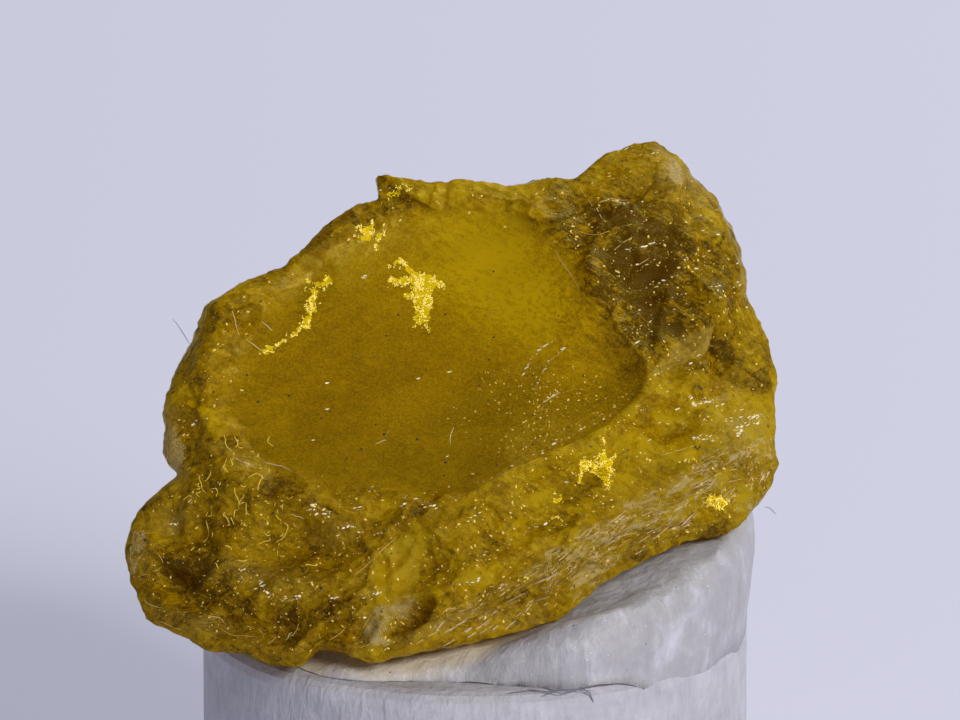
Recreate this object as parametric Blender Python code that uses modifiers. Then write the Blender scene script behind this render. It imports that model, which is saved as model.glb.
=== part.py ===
"""Sinhalite specimen: a broken piece of yellow-brown gem rough, bedded in a pat of pale putty
on top of a plain white round post.

The frame is +Z up, with the origin at the centre of the post's flat bottom face.
The stone is laid out in its own lean frame, whose origin is the centre of the post's top face:
u runs across (world +X), v runs up the leaning plane, and w points out of that plane, forwards
and a little up. Seen square to the plane, the stone is one closed outline. Two sheets, a front
and a back, span that outline and meet along its rim.
"""

import math

import bmesh
import bpy
import numpy as np

MM = 0.001

# ---- driving dimensions, in millimetres and degrees ----

POST_RADIUS = 5.05
POST_HEIGHT = 6.0
POST_EDGE = 0.3
POST_SIDES = 112

GAP = 0.15
LEAN_DEGREES = 17.0

STONE_CENTRE = (-0.45, 3.95)
STONE_OUTLINE = (
    (-1.85, 8.10), (-0.90, 8.00), (0.60, 7.90), (1.90, 8.10), (2.15, 8.35), (2.55, 8.60),
    (3.35, 8.75), (3.95, 8.30), (4.50, 7.65), (4.95, 6.75), (5.10, 5.80), (5.50, 4.90),
    (5.60, 3.55), (5.55, 2.75), (5.30, 2.10), (4.85, 1.60), (4.40, 1.40), (3.85, 1.35),
    (3.05, 0.95), (2.30, 0.55), (1.45, -0.10), (1.00, -0.20), (-0.50, -0.55), (-1.45, -0.75),
    (-1.90, -0.90), (-2.35, -0.70), (-2.85, -0.65), (-3.20, -0.95), (-3.75, -0.90),
    (-4.15, -0.70), (-4.95, -0.65), (-5.55, -0.35), (-6.05, -0.10), (-6.40, 0.60),
    (-6.40, 1.15), (-6.25, 1.75), (-5.80, 2.30), (-5.50, 2.55), (-5.70, 2.75),
    (-5.75, 3.20), (-5.70, 3.85), (-5.30, 5.05), (-5.00, 5.70), (-4.40, 6.05),
    (-3.50, 6.40), (-3.05, 6.90), (-2.70, 7.25), (-2.20, 7.55), (-1.80, 7.70),
)

# The rim's depth is RIM_MIDDLE - RIM_FALL * v - RIM_BOW * u squared.
RIM_MIDDLE = 3.85
RIM_FALL = 0.5
RIM_BOW = 0.038
FRONT_ROUNDING = 14
BACK_ROUNDING = 6
THINNEST = 1.3

# Each front face is the plane through three points (u, v, w).
FRONT_FACES = {
    "lower right": ((0.0, 2.3, 4.0), (3.5, 4.3, 2.2), (2.3, 0.7, 3.9)),
    "right band": ((1.2, 1.0, 4.05), (4.6, 2.6, 2.65), (3.1, 1.0, 3.1)),
    "lobe top": ((-0.2, 2.1, 4.1), (-5.2, 2.3, 2.4), (-3.5, 0.4, 3.9)),
    "lobe low": ((-5.1, 0.5, 3.0), (-1.4, 0.2, 4.55), (-3.3, -0.8, 4.15)),
    "left end": ((-6.0, 1.0, 2.2), (-5.6, 0.0, 2.9), (-5.6, 2.1, 2.0)),
    "left side": ((-4.6, 4.4, 1.7), (-5.6, 4.0, 1.2), (-5.0, 3.0, 2.2)),
    "bowl rim": ((0.0, 2.3, 4.0), (-4.7, 4.9, 1.4), (-0.1, 7.8, 0.2)),
    "shoulder": ((3.1, 5.1, 2.0), (2.3, 7.5, 0.95), (4.8, 6.7, 0.5)),
    "right end": ((5.0, 5.1, 0.9), (5.4, 2.6, 1.65), (4.3, 3.6, 2.3)),
    "knob": ((2.1, 7.9, 0.15), (3.6, 8.4, -0.25), (3.4, 7.1, 1.0)),
}
EDGE_SOFTNESS = 0.06

# Each back face is a plane in the world, through a point (x, y, height above the post) and
# facing along a direction out of the stone.
BACK_FACES = {
    "underside right": ((-2.0, -4.4, 0.35), (0.20, 0.10, -1.0)),
    "underside left": ((-2.0, -4.0, 0.55), (-0.25, 0.10, -1.0)),
    "back": ((0.0, 3.9, 3.5), (0.05, 1.0, -0.12)),
    "back left": ((-3.6, 2.2, 4.0), (-0.65, 0.75, -0.3)),
    "back right": ((4.2, 3.0, 4.5), (0.7, 0.7, -0.25)),
    "back low": ((0.0, 2.7, 1.6), (0.1, 0.75, -0.8)),
}
BACK_SOFTNESS = 0.15

BOWL_CENTRE = (-0.10, 5.25)
BOWL_DEPTH = 0.95
BOWL_OUTLINE = (
    (-0.10, 7.75), (0.85, 7.55), (1.60, 7.00), (2.25, 6.00), (2.65, 5.15), (3.20, 4.65),
    (3.05, 4.05), (1.60, 3.10), (0.65, 2.75), (0.00, 2.30), (-0.75, 1.95), (-1.95, 1.95),
    (-3.25, 2.10), (-4.45, 2.50), (-5.00, 3.40), (-5.10, 4.30), (-4.85, 5.15),
    (-4.20, 6.00), (-3.25, 6.70), (-2.30, 7.25), (-1.20, 7.65),
)

TURN_STEPS = 720
OUTLINE_BLUR = 15
BOWL_BLUR = 41
BALL_SUBDIVISIONS = 5

# The putty is a flat-bottomed mound. Its height is a slope that rises to the right and back.
PUTTY_RADIUS = 4.75
PUTTY_BULGE = 0.55
PUTTY_LEFT_CUT = 0.9
PUTTY_ROUNDING = 8
PUTTY_LOWEST = 0.3
PUTTY_HEIGHT = 1.35
PUTTY_RISE_RIGHT = 0.24
PUTTY_RISE_BACK = 0.08
PUTTY_SUBDIVISIONS = 4

# ---- shape rules ----


def softest(values, softness):
    """The least of several values, with the creases between them rounded off."""
    least = np.min(values, axis=0)
    spread = sum(np.exp(-(value - least) / softness) for value in values)
    return least - softness * np.log(spread)


def plane_through(points):
    """The plane w = level + across * u + up * v through three points (u, v, w)."""
    points = np.array(points)
    rows = np.column_stack([np.ones(3), points[:, :2]])
    level, across, up = np.linalg.solve(rows, points[:, 2])
    return lambda u, v: level + across * u + up * v


def reach_table(outline, centre, blur):
    """How far a closed outline is from its centre, in TURN_STEPS directions, slightly blurred."""
    corners = np.array(outline) - centre
    turns = np.arctan2(corners[:, 1], corners[:, 0])
    steps = np.linspace(-math.pi, math.pi, TURN_STEPS, endpoint=False)
    reach = np.interp(steps, turns, np.hypot(*corners.T), period=2 * math.pi)
    window = np.hanning(blur + 2)[1:-1]
    wrapped = np.concatenate([reach[-blur:], reach, reach[:blur]])
    return np.convolve(wrapped, window / window.sum(), "same")[blur:-blur]


def reach_towards(table, across, up):
    steps = np.linspace(-math.pi, math.pi, TURN_STEPS, endpoint=False)
    return np.interp(np.arctan2(up, across), steps, table, period=2 * math.pi)


def lean_axes():
    """The world directions of u, v and w."""
    lean = math.radians(LEAN_DEGREES)
    return np.array([
        (1.0, 0.0, 0.0),
        (0.0, math.sin(lean), math.cos(lean)),
        (0.0, -math.cos(lean), math.sin(lean)),
    ])


def rim_depth(u, v):
    return RIM_MIDDLE - RIM_FALL * v - RIM_BOW * u**2


def bowl_hollow(u, v):
    """Depth of the broad shell-shaped hollow: deepest in the middle, nothing at its outline."""
    table = reach_table(BOWL_OUTLINE, BOWL_CENTRE, BOWL_BLUR)
    across, up = u - BOWL_CENTRE[0], v - BOWL_CENTRE[1]
    share = np.hypot(across, up) / reach_towards(table, across, up)
    return BOWL_DEPTH * np.clip(1 - share**2, 0, 1)


def front_depth(u, v):
    faces = [plane_through(points)(u, v) for points in FRONT_FACES.values()]
    return softest(faces, EDGE_SOFTNESS) - bowl_hollow(u, v)


def back_depth(u, v):
    """The back faces, each solved for w where the line through (u, v) meets it."""
    axes = lean_axes()
    faces = []
    for point, facing in BACK_FACES.values():
        along_u, along_v, along_w = axes @ np.array(facing)
        level = np.dot(point, facing)
        faces.append((u * along_u + v * along_v - level) / along_w)
    return -softest(faces, BACK_SOFTNESS)


def edge_falloff(share, rounding):
    """1 over the middle of a sheet, rounding off to 0 at its rim."""
    return np.sqrt(np.clip(1 - share**rounding, 0, 1))


def stone_points(ball):
    """Carries the points of a unit ball to the stone's surface, in world millimetres."""
    across, up, out = ball.T
    share = np.clip(np.hypot(across, up), 0, 1)
    reach = reach_towards(
        reach_table(STONE_OUTLINE, STONE_CENTRE, OUTLINE_BLUR), across, up
    )
    u = STONE_CENTRE[0] + reach * across
    v = STONE_CENTRE[1] + reach * up
    rim = rim_depth(u, v)
    front = front_depth(u, v)
    back = np.minimum(back_depth(u, v), np.minimum(front, rim) - THINNEST)
    front = rim + (front - rim) * edge_falloff(share, FRONT_ROUNDING)
    back = rim + (back - rim) * edge_falloff(share, BACK_ROUNDING)
    w = np.where(out > 0, front, back)
    return np.column_stack([u, v, w]) @ lean_axes() + (0, 0, POST_HEIGHT)


def putty_points(ball):
    """Carries a unit ball to a flat-bottomed mound on the post's top."""
    x, y, z = ball.T
    share = np.clip(np.hypot(x, y), 0, 1)
    to_right = x / np.maximum(share, 1e-9)
    reach = PUTTY_RADIUS + PUTTY_BULGE * np.clip(to_right, 0, 1) ** 2
    reach = reach - PUTTY_LEFT_CUT * np.clip(-to_right, 0, 1) ** 2
    x, y = x * reach, y * reach
    slope = PUTTY_HEIGHT + PUTTY_RISE_RIGHT * x + PUTTY_RISE_BACK * y
    top = np.maximum(slope, PUTTY_LOWEST) * edge_falloff(share, PUTTY_ROUNDING)
    height = np.where(z > 0, top, 0.0) + POST_HEIGHT + GAP
    return np.column_stack([x, y, height])


# ---- objects ----


def clear_scene():
    for obj in list(bpy.data.objects):
        bpy.data.objects.remove(obj)


def new_collection(name):
    collection = bpy.data.collections.new(name)
    bpy.context.scene.collection.children.link(collection)
    return collection


def new_material(name, colour, roughness, transmission=0.0, ior=1.45):
    material = bpy.data.materials.new(name)
    material.use_nodes = True
    shader = material.node_tree.nodes["Principled BSDF"]
    shader.inputs["Base Color"].default_value = (*colour, 1.0)
    shader.inputs["Roughness"].default_value = roughness
    shader.inputs["Metallic"].default_value = 0.0
    shader.inputs["Transmission Weight"].default_value = transmission
    shader.inputs["IOR"].default_value = ior
    return material


def new_object(name, shape, collection, material):
    """Turns a bmesh into an object of its own mesh, shaded smooth up to sharp edges."""
    mesh = bpy.data.meshes.new(name)
    shape.to_mesh(mesh)
    shape.free()
    obj = bpy.data.objects.new(name, mesh)
    collection.objects.link(obj)
    if material:
        mesh.materials.append(material)
    mesh.shade_smooth()
    mesh.set_sharp_from_angle(angle=math.radians(35))
    return obj


def moved_ball(subdivisions, rule):
    """A unit icosphere whose vertices are carried to their places, in metres, by a rule."""
    shape = bmesh.new()
    bmesh.ops.create_icosphere(shape, subdivisions=subdivisions, radius=1.0)
    ball = np.array([vertex.co for vertex in shape.verts])
    for vertex, place in zip(shape.verts, rule(ball) * MM):
        vertex.co = place
    shape.normal_update()
    return shape


def add_post(parts, material):
    shape = bmesh.new()
    bmesh.ops.create_cone(
        shape,
        cap_ends=True,
        segments=POST_SIDES,
        radius1=POST_RADIUS * MM,
        radius2=POST_RADIUS * MM,
        depth=POST_HEIGHT * MM,
    )
    post = new_object("display_post", shape, parts, material)
    post.location.z = POST_HEIGHT * MM / 2
    bevel = post.modifiers.new("Rounded edges", "BEVEL")
    bevel.width = POST_EDGE * MM
    bevel.segments = 3
    bevel.limit_method = "ANGLE"
    bevel.angle_limit = math.radians(60)
    return post


def add_stone(parts, material):
    shape = moved_ball(BALL_SUBDIVISIONS, stone_points)
    return new_object("sinhalite_stone", shape, parts, material)


def add_stone_bed(cutters, stone):
    """The stone grown by the gap on every side, which presses the stone's seat in the putty."""
    shape = bmesh.new()
    shape.from_mesh(stone.data)
    shape.normal_update()
    for vertex, normal in [(v, v.normal.copy()) for v in shape.verts]:
        vertex.co += normal * GAP * MM
    bed = new_object("stone_bed_cutter", shape, cutters, None)
    bed.hide_render = True
    bed.display_type = "WIRE"
    return bed


def add_putty(parts, material, bed):
    shape = moved_ball(PUTTY_SUBDIVISIONS, putty_points)
    putty = new_object("mounting_putty", shape, parts, material)
    press = putty.modifiers.new("Pressed by the stone", "BOOLEAN")
    press.operation = "DIFFERENCE"
    press.solver = "EXACT"
    press.object = bed
    return putty


def main():
    clear_scene()
    parts = new_collection("sinhalite_specimen")
    cutters = new_collection("cutters")
    add_post(parts, new_material("white plaster", (0.62, 0.61, 0.62), 0.8))
    stone = add_stone(
        parts, new_material("sinhalite", (0.62, 0.42, 0.04), 0.25, 0.8, 1.69)
    )
    bed = add_stone_bed(cutters, stone)
    add_putty(parts, new_material("pale putty", (0.72, 0.68, 0.60), 0.45), bed)


main()
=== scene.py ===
"""Looks of the sinhalite specimen: a broken piece of yellow-brown gem rough, bedded in pale
putty on a short white post.

The stone is worked out in its own lean frame, in millimetres, from the centre of the post's top:
u runs across (world +X), v runs up a plane that leans back, and w points out of that plane.
A front and a back sheet span one outline and meet along its rim. Everything that is sealed in
the stone, or lies on it, is placed on the same two sheets.
"""

import itertools
import math

import bpy
import numpy as np
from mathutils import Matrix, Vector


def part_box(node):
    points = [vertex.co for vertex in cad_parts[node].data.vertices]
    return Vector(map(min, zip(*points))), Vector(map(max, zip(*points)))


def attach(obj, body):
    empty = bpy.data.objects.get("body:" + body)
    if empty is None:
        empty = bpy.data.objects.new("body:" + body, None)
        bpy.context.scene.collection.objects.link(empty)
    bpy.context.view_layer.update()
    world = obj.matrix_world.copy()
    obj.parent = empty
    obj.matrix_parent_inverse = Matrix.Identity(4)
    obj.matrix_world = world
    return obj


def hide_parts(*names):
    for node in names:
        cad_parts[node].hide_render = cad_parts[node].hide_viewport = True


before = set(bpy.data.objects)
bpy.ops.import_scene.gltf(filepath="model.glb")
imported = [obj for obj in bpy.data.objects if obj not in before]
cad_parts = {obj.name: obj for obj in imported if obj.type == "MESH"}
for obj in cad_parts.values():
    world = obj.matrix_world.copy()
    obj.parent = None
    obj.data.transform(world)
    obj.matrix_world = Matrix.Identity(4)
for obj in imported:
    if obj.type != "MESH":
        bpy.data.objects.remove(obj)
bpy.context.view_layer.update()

MM = 0.001
POST_LOW, POST_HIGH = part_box("display_post")
POST_RADIUS = (POST_HIGH.x - POST_LOW.x) / 2 / MM
POST_HEIGHT = POST_HIGH.z / MM

# ---- the stone's broad shape, in its lean frame ----

LEAN_DEGREES = 17.0
STONE_CENTRE = (-0.45, 3.95)
STONE_OUTLINE = (
    (-1.85, 8.1), (-0.9, 8.0), (0.6, 7.9), (1.9, 8.1), (2.15, 8.35), (2.55, 8.6), (3.35, 8.75),
    (3.95, 8.3), (4.5, 7.65), (4.95, 6.75), (5.1, 5.8), (5.5, 4.9), (5.6, 3.55), (5.55, 2.75),
    (5.3, 2.1), (4.85, 1.6), (4.4, 1.4), (3.85, 1.35), (3.05, 0.95), (2.3, 0.55), (1.45, -0.1),
    (1.0, -0.2), (-0.5, -0.55), (-1.45, -0.75), (-1.9, -0.9), (-2.35, -0.7), (-2.85, -0.65),
    (-3.2, -0.95), (-3.75, -0.9), (-4.15, -0.7), (-4.95, -0.65), (-5.55, -0.35), (-6.05, -0.1),
    (-6.4, 0.6), (-6.4, 1.15), (-6.25, 1.75), (-5.8, 2.3), (-5.5, 2.55), (-5.7, 2.75), (-5.75, 3.2),
    (-5.7, 3.85), (-5.3, 5.05), (-5.0, 5.7), (-4.4, 6.05), (-3.5, 6.4), (-3.05, 6.9), (-2.7, 7.25),
    (-2.2, 7.55), (-1.8, 7.7),
)
# The rim's w at the middle, how it falls with v, and how it bows back with u squared.
RIM_MIDDLE = 3.85
RIM_FALL = 0.5
RIM_BOW = 0.038
# How late each sheet rounds off towards the rim, and the least thickness of the stone.
FRONT_ROUNDING = 20
BACK_ROUNDING = 6
THINNEST = 1.3

# Each front face is the plane through three points (u, v, w).
FRONT_FACES = {
    "lower right": ((0.0, 2.3, 4.0), (3.5, 4.3, 2.2), (2.3, 0.7, 3.9)),
    "right band": ((1.2, 1.0, 4.05), (4.6, 2.6, 2.65), (3.1, 1.0, 3.1)),
    "lobe top": ((-0.2, 2.1, 4.1), (-5.2, 2.3, 2.4), (-3.5, 0.4, 3.9)),
    "lobe low": ((-5.1, 0.5, 3.0), (-1.4, 0.2, 4.55), (-3.3, -0.8, 4.15)),
    "left end": ((-6.0, 1.0, 2.2), (-5.6, 0.0, 2.9), (-5.6, 2.1, 2.0)),
    "left side": ((-4.6, 4.4, 1.7), (-5.6, 4.0, 1.2), (-5.0, 3.0, 2.2)),
    "bowl rim": ((0.0, 2.3, 4.0), (-4.7, 4.9, 1.4), (-0.1, 7.8, 0.2)),
    "shoulder": ((3.1, 5.1, 2.0), (2.3, 7.5, 0.95), (4.8, 6.7, 0.5)),
    "right end": ((5.0, 5.1, 0.9), (5.4, 2.6, 1.65), (4.3, 3.6, 2.3)),
    "knob": ((2.1, 7.9, 0.15), (3.6, 8.4, -0.25), (3.4, 7.1, 1.0)),
}
EDGE_SOFTNESS = 0.04

# Each back face goes through a world point (x, y, height above the post) and faces out.
BACK_FACES = {
    "underside right": ((-2.0, -4.4, 0.35), (0.2, 0.1, -1.0)),
    "underside left": ((-2.0, -4.0, 0.55), (-0.25, 0.1, -1.0)),
    "back": ((0.0, 3.9, 3.5), (0.05, 1.0, -0.12)),
    "back left": ((-3.6, 2.2, 4.0), (-0.65, 0.75, -0.3)),
    "back right": ((4.2, 3.0, 4.5), (0.7, 0.7, -0.25)),
    "back low": ((0.0, 2.7, 1.6), (0.1, 0.75, -0.8)),
}
BACK_SOFTNESS = 0.12

BOWL_CENTRE = (-0.1, 5.25)
BOWL_DEPTH = 0.95
BOWL_EDGE = 0.8
BOWL_OUTLINE = (
    (-0.1, 7.75), (0.85, 7.55), (1.6, 7.0), (2.25, 6.0), (2.65, 5.15), (3.2, 4.65), (3.05, 4.05),
    (1.6, 3.1), (0.65, 2.75), (0.0, 2.3), (-0.75, 1.95), (-1.95, 1.95), (-3.25, 2.1), (-4.45, 2.5),
    (-5.0, 3.4), (-5.1, 4.3), (-4.85, 5.15), (-4.2, 6.0), (-3.25, 6.7), (-2.3, 7.25), (-1.2, 7.65),
)

# An outline is read in this many directions, and blurred over so many of them. A sheet of the
# stone is a grid of so many cells each way.
TURN_STEPS = 1440
OUTLINE_BLUR = 7
BOWL_BLUR = 61
SHEET_CELLS = 215
# The power by which a sheet's grid closes up towards its rim.
RIM_CROWDING = 1.5
# Nicks in the outline: how deep, how long, and their salt.
OUTLINE_NICKS = ((0.03, 0.45, 7), (0.018, 0.2, 8), (0.012, 0.09, 9))

# ---- noise and small rules ----

# How far noise of size 1 pushes points about, how unevenly the chips share out the skin, how
# much they slope, and how near its crest a chip's slope begins to fade.
WANDER = 0.35
CHIP_CHANCE = 0.4
CHIP_SLOPE = 1.2
CREST_WIDTH = 0.12


def cell_random(cells, salt):
    """A fixed number from 0 to 1 for each whole-number cell: its three numbers are mixed by
    multiplying, folding the high bits down and multiplying again."""
    key = (cells * np.array([73856093, 19349663, 83492791])).sum(-1) + salt * 2654435761
    key = (key & 0xFFFFFFFF).astype(np.uint64)
    key = ((key ^ (key >> np.uint64(13))) * np.uint64(1274126177)) & np.uint64(0xFFFFFFFF)
    key = ((key ^ (key >> np.uint64(16))) * np.uint64(2246822519)) & np.uint64(0xFFFFFFFF)
    return (key ^ (key >> np.uint64(15))) / 2.0**32


def cell_numbers(cells, salt, count):
    """Several fixed numbers from 0 to 1 for each cell."""
    return np.stack([cell_random(cells, salt + column) for column in range(count)], -1)


def chance(count, salt):
    """Fixed numbers from 0 to 1, one for each of `count` things."""
    numbers = np.arange(count)
    return cell_random(np.stack([numbers, numbers // 7, numbers * 0], -1), salt)


def chances(count, salt, columns):
    """A row of several fixed numbers from 0 to 1 for each of `count` things."""
    return np.stack([chance(count, salt + column) for column in range(columns)], -1)


def soft_noise(points, size, salt):
    """Smooth noise from -1 to 1: random values at the corners of cubes of side `size`,
    blended with a smooth step."""
    place = points / size
    base = np.floor(place).astype(np.int64)
    part = place - base
    part = part * part * (3 - 2 * part)
    total = np.zeros(len(points))
    for corner in itertools.product((0, 1), repeat=3):
        weight = np.prod(np.where(corner, part, 1 - part), axis=-1)
        total += weight * cell_random(base + np.array(corner), salt)
    return 2 * total - 1


def layered(points, layers):
    """Noise of several sizes added up. Each layer is its strength, its size and its salt."""
    return sum(strength * soft_noise(points, size, salt) for strength, size, salt in layers)


def noise_push(points, size, salt, axes):
    """A smooth push for each point: noise of its own along each of so many axes."""
    return np.stack([soft_noise(points, size, salt + axis) for axis in range(axes)], -1)


def warped(points, size, salt):
    """The points pushed about by smooth noise of the given size, so that patterns wander."""
    return points + WANDER * size * noise_push(points, size, salt, 3)


def chips(points, size, salt):
    """Shell-shaped chips that meet in crests. Random centres, one in each cube of side
    `size`, share out the points: each goes to the centre with the least squared distance plus
    a little chance. Gives three arrays: that least value, plus the chip's slope, which fades out
    at the crest; how far a point is from the crest with the next chip; and a random shade that
    is the same all over a chip."""
    place = warped(points, size, salt) / size
    base = np.floor(place).astype(np.int64)
    nearest, second = np.full((2, len(points)), 9.0)
    slope, shade = np.zeros((2, len(points)))
    for step in itertools.product((-1, 0, 1), repeat=3):
        cell = base + np.array(step)
        away = place - (cell + cell_numbers(cell, salt + 3, 3))
        tilt = cell_numbers(cell, salt + 7, 3) - 0.5
        distance = (away**2).sum(-1) + CHIP_CHANCE * cell_random(cell, salt + 6)
        closer = distance < nearest
        second = np.where(closer, nearest, np.minimum(second, distance))
        slope = np.where(closer, (away * tilt).sum(-1), slope)
        shade = np.where(closer, cell_random(cell, salt + 10), shade)
        nearest = np.minimum(nearest, distance)
    crest = second - nearest
    return nearest + CHIP_SLOPE * slope * smooth_step(crest, 0.0, CREST_WIDTH), crest, shade


def softest(values, softness):
    """The least of several values, with the creases between them rounded off: minus softness
    times the log of the sum of e to the minus value over softness."""
    lowest = np.min(values, axis=0)
    return lowest - softness * np.log(sum(np.exp((lowest - value) / softness) for value in values))


def smooth_step(value, low, high):
    """0 below low, 1 above high, and a smooth S between them."""
    part = np.clip((value - low) / (high - low), 0, 1)
    return part * part * (3 - 2 * part)


def plane_through(points):
    """The plane w = level + across * u + up * v through three points (u, v, w)."""
    points = np.array(points)
    rows = np.column_stack([np.ones(3), points[:, :2]])
    level, across, up = np.linalg.solve(rows, points[:, 2])
    return lambda u, v: level + across * u + up * v


def turn_steps():
    """Even steps of a full turn, from minus X through minus Y and back."""
    return np.linspace(-math.pi, math.pi, TURN_STEPS, endpoint=False)


def reach_table(outline, centre, blur):
    """How far a closed outline is from its centre, in TURN_STEPS directions, slightly blurred."""
    corners = np.array(outline) - centre
    turns = np.arctan2(corners[:, 1], corners[:, 0])
    reach = np.interp(turn_steps(), turns, np.hypot(*corners.T), period=2 * math.pi)
    window = np.hanning(blur + 2)[1:-1]
    wrapped = np.concatenate([reach[-blur:], reach, reach[:blur]])
    return np.convolve(wrapped, window / window.sum(), "same")[blur:-blur]


def reach_towards(table, across, up):
    """The table's reach in the direction (across, up)."""
    return np.interp(np.arctan2(up, across), turn_steps(), table, period=2 * math.pi)


def outline_share(table, centre, u, v):
    """0 at an outline's centre and 1 along the outline: distance over reach."""
    across, up = u - centre[0], v - centre[1]
    return np.hypot(across, up) / reach_towards(table, across, up)


def lean_axes():
    """The world directions of u, v and w, one a row."""
    lean = math.radians(LEAN_DEGREES)
    return np.array([
        (1.0, 0.0, 0.0),
        (0.0, math.sin(lean), math.cos(lean)),
        (0.0, -math.cos(lean), math.sin(lean)),
    ])


def to_world(u, v, w):
    """Points of the lean frame as world metres."""
    places = np.stack([u, v, w], -1) @ lean_axes() + (0, 0, POST_HEIGHT)
    return places * MM


# ---- the stone's two sheets ----


def rim_depth(u, v):
    """The w of the rim: it falls as v rises, and bows back with the square of u."""
    return RIM_MIDDLE - RIM_FALL * v - RIM_BOW * u**2


def bowl_share(u, v):
    """0 at the bowl's centre and 1 along its outline."""
    return outline_share(BOWL_REACH, BOWL_CENTRE, u, v)


def stone_share(u, v):
    """0 at the stone's centre and 1 along its outline."""
    return outline_share(STONE_REACH, STONE_CENTRE, u, v)


def front_depth(u, v):
    """The w of the front: the least of the face planes, less the bowl, which is as deep as one
    minus the square of its share, raised to the power BOWL_EDGE."""
    faces = [plane_through(points)(u, v) for points in FRONT_FACES.values()]
    hollow = BOWL_DEPTH * np.clip(1 - bowl_share(u, v) ** 2, 0, 1) ** BOWL_EDGE
    return softest(faces, EDGE_SOFTNESS) - hollow


def back_depth(u, v):
    """The w of the back: each back face is solved for w on the line through (u, v), and the
    greatest of those is taken, with the creases rounded off."""
    faces = []
    for point, facing in BACK_FACES.values():
        along_u, along_v, along_w = lean_axes() @ np.array(facing)
        level = np.dot(point, facing)
        faces.append((u * along_u + v * along_v - level) / along_w)
    return -softest(faces, BACK_SOFTNESS)


def edge_falloff(share, rounding):
    """1 over the middle of a sheet, rounding off to 0 at its rim: the square root of one minus
    the share raised to the power `rounding`."""
    return np.sqrt(np.clip(1 - share**rounding, 0, 1))


def disc_grid(cells):
    """A square grid bent onto the unit disc: each square ring becomes a circle. Gives the
    share of the radius, which closes up towards the rim, and the unit direction."""
    a, b = np.meshgrid(*[np.linspace(-1, 1, cells + 1)] * 2, indexing="ij")
    wide = np.abs(a) >= np.abs(b)
    long = np.where(wide, a, b)
    ratio = np.where(wide, b, a) / np.where(long == 0, 1, long)
    turn = np.where(wide, ratio * math.pi / 4, math.pi / 2 - ratio * math.pi / 4)
    share = 1 - (1 - np.abs(long)) ** RIM_CROWDING
    side = np.sign(long)
    return share, side * np.cos(turn), side * np.sin(turn)


def stone_sheets():
    """The front and the back sheet, as grids of points (u, v, w) that share their border. The
    back stays at least THINNEST behind the front and the rim, until it rounds off."""
    share, across, up = disc_grid(SHEET_CELLS)
    reach = reach_towards(STONE_REACH, across, up)
    u = STONE_CENTRE[0] + reach * share * across
    v = STONE_CENTRE[1] + reach * share * up
    rim = rim_depth(u, v)
    front = front_depth(u, v)
    back = np.minimum(back_depth(u, v), np.minimum(front, rim) - THINNEST)
    front = rim + (front - rim) * edge_falloff(share, FRONT_ROUNDING)
    back = rim + (back - rim) * edge_falloff(share, BACK_ROUNDING)
    return np.stack([u, v, front], -1), np.stack([u, v, back], -1)


def nicked(reach):
    """The outline with small nicks: noise of three sizes, read along the outline itself."""
    turns = turn_steps()
    line = np.column_stack([reach * np.cos(turns), reach * np.sin(turns), 0 * turns])
    return reach + layered(line, OUTLINE_NICKS)


STONE_REACH = nicked(reach_table(STONE_OUTLINE, STONE_CENTRE, OUTLINE_BLUR))
BOWL_REACH = reach_table(BOWL_OUTLINE, BOWL_CENTRE, BOWL_BLUR)

# ---- meshes ----


def grid_quads(ids):
    """The four-cornered faces of a grid of vertex numbers, turning left round the normal."""
    corners = (ids[:-1, :-1], ids[1:, :-1], ids[1:, 1:], ids[:-1, 1:])
    return np.stack(corners, -1).reshape(-1, 4)


def new_piece(name, points, faces, material, smooth=True):
    """A mesh object at the origin, from an array of points in metres and an array of faces."""
    mesh = bpy.data.meshes.new(name)
    mesh.from_pydata(points.tolist(), [], faces.tolist())
    mesh.materials.append(material)
    if smooth:
        mesh.shade_smooth()
    return add_object(name, mesh)


def two_sheets(front, back):
    """One closed shape from two grids that share their border: all of the front's points,
    then the back's inner points, with the back's faces turned to look the other way."""
    rows, columns = front.shape[:2]
    front_ids = np.arange(rows * columns).reshape(rows, columns)
    back_ids = front_ids.copy()
    inner = (rows - 2) * (columns - 2)
    back_ids[1:-1, 1:-1] = rows * columns + np.arange(inner).reshape(rows - 2, columns - 2)
    points = np.concatenate([front.reshape(-1, 3), back[1:-1, 1:-1].reshape(-1, 3)])
    faces = np.concatenate([grid_quads(front_ids), grid_quads(back_ids)[:, ::-1]])
    return points, faces


def vertex_values(obj, key):
    """A row of three numbers for each vertex: its place ("co") or its normal ("normal")."""
    flat = np.empty(len(obj.data.vertices) * 3)
    obj.data.vertices.foreach_get(key, flat)
    return flat.reshape(-1, 3)


def push_out(obj, places, distance):
    """Moves each vertex from its place out along its normal by its own distance in mm, and
    gives the new places."""
    places = places + vertex_values(obj, "normal") * (distance * MM)[:, None]
    obj.data.vertices.foreach_set("co", places.astype(np.float32).ravel())
    obj.data.update()
    return places


def add_attribute(obj, name, values):
    """A number for each vertex, under the name by which the material reads it."""
    layer = obj.data.attributes.new(name, "FLOAT", "POINT")
    layer.data.foreach_set("value", values.astype(np.float32))


def add_object(name, data):
    """An object at the origin, in the scene's own collection."""
    obj = bpy.data.objects.new(name, data)
    bpy.context.scene.collection.objects.link(obj)
    return obj


# ---- materials ----


def new_material(name):
    """A material with nodes: the material, its node tree and its shader."""
    material = bpy.data.materials.new(name)
    material.use_nodes = True
    tree = material.node_tree
    return material, tree, tree.nodes["Principled BSDF"]


def set_input(tree, socket, value):
    """Links another node's socket, or sets a plain value on the socket itself."""
    if isinstance(value, bpy.types.NodeSocket):
        tree.links.new(value, socket)
    else:
        socket.default_value = value


def set_inputs(tree, node, inputs):
    """Sets or links each input of a node by its name."""
    for name, value in inputs.items():
        set_input(tree, node.inputs[name], value)


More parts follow.
